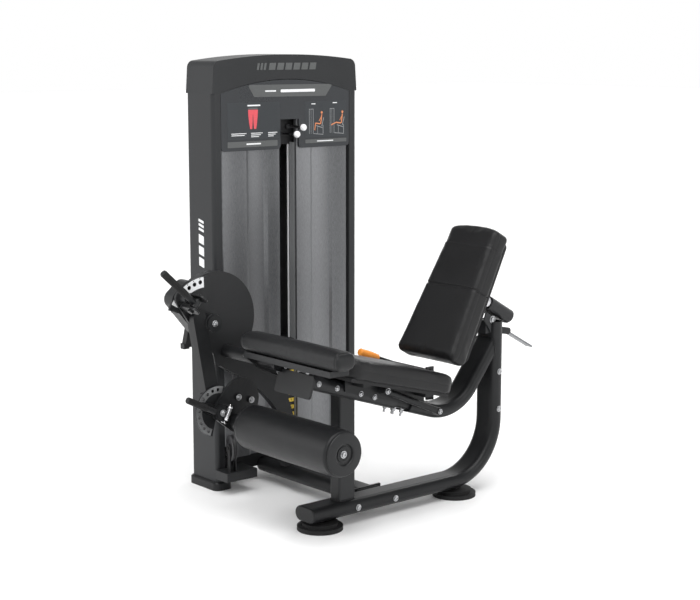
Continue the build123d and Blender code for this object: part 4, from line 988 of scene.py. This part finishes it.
def seat_cushion_soft():
    """Seat: broad cushion with a welt round its side and a seam inside each edge of its top."""
    length, thick, half_width = 475, 62, 184
    outwards = Vector((0, sin(CUSHION_TILT), cos(CUSHION_TILT)))
    place = pad_place(node_centre("seat_cushion") - outwards * thick / 2, outwards)
    half = length / 2
    welt, top_from, seam_inset = 30, 50, 34
    mesh = pad_block(bar((-half_width, -half), (half_width, half)), 45, thick, 18, 9, 3)

    def depth_at(p):
        depth = dip(p.z - welt, 1.3, 2.4)
        if p.z > top_from:
            depth += dip(abs(p.x) - (half_width - seam_inset), 1.6, 3.0)
            depth += dip(abs(p.y) - (half - seam_inset), 1.2, 3.0)
        return depth

    soft_piece("seat_cushion_soft", mesh, place, 4, 5, depth_at, "upholstery", "frame", "seat_cushion")


def knee_roll_soft():
    """Padded roll across the machine with a sewn seam near each end."""
    length, depth_y, depth_z = 500, 80, 66
    place = Matrix(((0, 1, 0), (-1, 0, 0), (0, 0, 1))).to_4x4()
    place.translation = (node_centre("knee_roll") - Vector((0, 0, depth_z / 2))) * MM
    mesh = pad_block(bar((-depth_y / 2, -length / 2), (depth_y / 2, length / 2)), 12, depth_z, 28, 28, 1.5)

    def depth_at(p):
        return dip(abs(p.y) - (length / 2 - 14), 1.5, 2.2) + 0.4 * noise.noise(p * 0.03)

    soft_piece("knee_roll_soft", mesh, place, 3, 3, depth_at, "roller_foam", "frame", "knee_roll")


back_pad_soft()
seat_cushion_soft()
knee_roll_soft()


# ---- screws on guards and boards ----
def guard_screws():
    """Small dark screws in rows on the outer guard."""
    outer_x = node_limits("shroud_outer")[0].x
    places = [((outer_x, y, z), LEFT, 4) for y in (60, 200, 320, 440, 580) for z in (130, 700, 1350)]
    bolts("outer_guard_screws", places, "frame", "black_steel")


def slot_edges():
    """Folded inner flange along the guard's slot, and a near-white strip on its edge, a painted highlight."""
    guard_low, guard_high = node_limits("shroud_front")
    face = guard_high.x - 8
    low, high = guard_low.z + 12, node_limits("display_panel")[0].z + 20
    for name, first, last, y, thickness, material in (
        ("slot_flange", 30, 0, SLOT_EDGE, 1.0, "guard_flange"),
        ("slot_flange_highlight", 36, 31, SLOT_EDGE - 3, 3.6, "slot_edge_highlight"),
    ):
        flat(name, [bar((face - first, low), (face - last, high))], (0, y, 0), RIGHT, UP, thickness,
             material, "frame")


def board_screws():
    """Two columns of bolts on the back of the backrest board."""
    normal = Vector((0, cos(RECLINE), -sin(RECLINE)))
    along = Vector((0, sin(RECLINE), cos(RECLINE)))
    middle = node_centre("back_board") + normal * 6
    places = [(middle + Vector((x, 0, 0)) + along * a, normal, 5) for x in (-84, 84) for a in (-170, 0, 150)]
    bolts("back_board_screws", places, "backrest")


guard_screws()
slot_edges()
board_screws()


# ---- stage, light and camera, in metres ----
FLOOR_REACH = 40.0
HORIZON, ZENITH = 1.0, 0.3
SUN_ENERGY, SUN_SPREAD, SUN_PLACE = 2.6, 55, (0.6, -0.5, 2.6)
LIGHT_AIM = (-0.3, 0.3, 0.7)
LIGHTS = (
    ("key", (2.2, -2.6, 3.0), (0.5, 2.2), 26),
    ("side", (3.8, 1.6, 2.2), (0.5, 2.6), 22),
    ("left", (-2.4, -3.0, 2.0), (0.4, 2.4), 22),
    ("behind", (-1.6, 3.4, 2.6), (0.5, 2.2), 20),
)
CAMERA_PLACE, CAMERA_DOWN, CAMERA_TURN = (3.812, -3.1008, 1.556), 9.3, 49.74
SENSOR, FOCAL_LENGTH = 36, 80.897143


def aim_lamp(name, light, place, aim):
    """Puts a light in the scene, turned from its place towards aim."""
    lamp = bpy.data.objects.new(name, light)
    lamp.location = place
    lamp.rotation_euler = (Vector(aim) - Vector(place)).to_track_quat("-Z", "Y").to_euler()
    scene.collection.objects.link(lamp)


def studio():
    """White floor, surroundings that darken overhead, a soft sun and four narrow lights."""
    floor_mesh = bpy.data.meshes.new("floor")
    corners = bar((-FLOOR_REACH, -FLOOR_REACH), (FLOOR_REACH, FLOOR_REACH))
    floor_mesh.from_pydata([(x, y, 0) for x, y in corners], [], [(0, 1, 2, 3)])
    floor = bpy.data.objects.new("floor", floor_mesh)
    scene.collection.objects.link(floor)
    paint = bpy.data.materials.new("floor_paint")
    paint.use_nodes = True
    shader = paint.node_tree.nodes["Principled BSDF"]
    shader.inputs["Base Color"].default_value = (0.96, 0.96, 0.96, 1)
    shader.inputs["Roughness"].default_value = 0.8
    shader.inputs["Specular IOR Level"].default_value = 0.2
    floor_mesh.materials.append(paint)
    world = bpy.data.worlds.new("studio")
    scene.world = world
    world.use_nodes = True
    tree = world.node_tree
    back = tree.nodes["Background"]
    back.inputs["Color"].default_value = (1, 1, 1, 1)
    direction = add_node(tree, "TexCoord")
    parts = add_node(tree, "SeparateXYZ")
    height = add_node(tree, "MapRange", {"From Min": 0.3, "From Max": 0.62, "To Min": HORIZON,
                                         "To Max": ZENITH})
    height.interpolation_type = "SMOOTHSTEP"
    link(tree, direction, "Generated", parts, "Vector")
    link(tree, parts, "Z", height, "Value")
    link(tree, height, "Result", back, "Strength")
    sun = bpy.data.lights.new("sun", "SUN")
    sun.energy = SUN_ENERGY
    sun.angle = radians(SUN_SPREAD)
    aim_lamp("sun", sun, SUN_PLACE, (0, 0, 0))
    for name, place, size, power in LIGHTS:
        light = bpy.data.lights.new(name, "AREA")
        light.shape = "RECTANGLE"
        light.size, light.size_y = size
        light.energy = power
        aim_lamp(name, light, place, LIGHT_AIM)
    scene.view_settings.view_transform = "Standard"
    scene.view_settings.look = "None"


def camera():
    """Camera at the estimated place of the photo's."""
    lens = bpy.data.cameras.new("camera")
    lens.lens = FOCAL_LENGTH
    lens.sensor_width = SENSOR
    view = bpy.data.objects.new("camera", lens)
    view.location = CAMERA_PLACE
    view.rotation_euler = (radians(90 - CAMERA_DOWN), 0, radians(CAMERA_TURN))
    scene.collection.objects.link(view)
    scene.camera = view


studio()
camera()
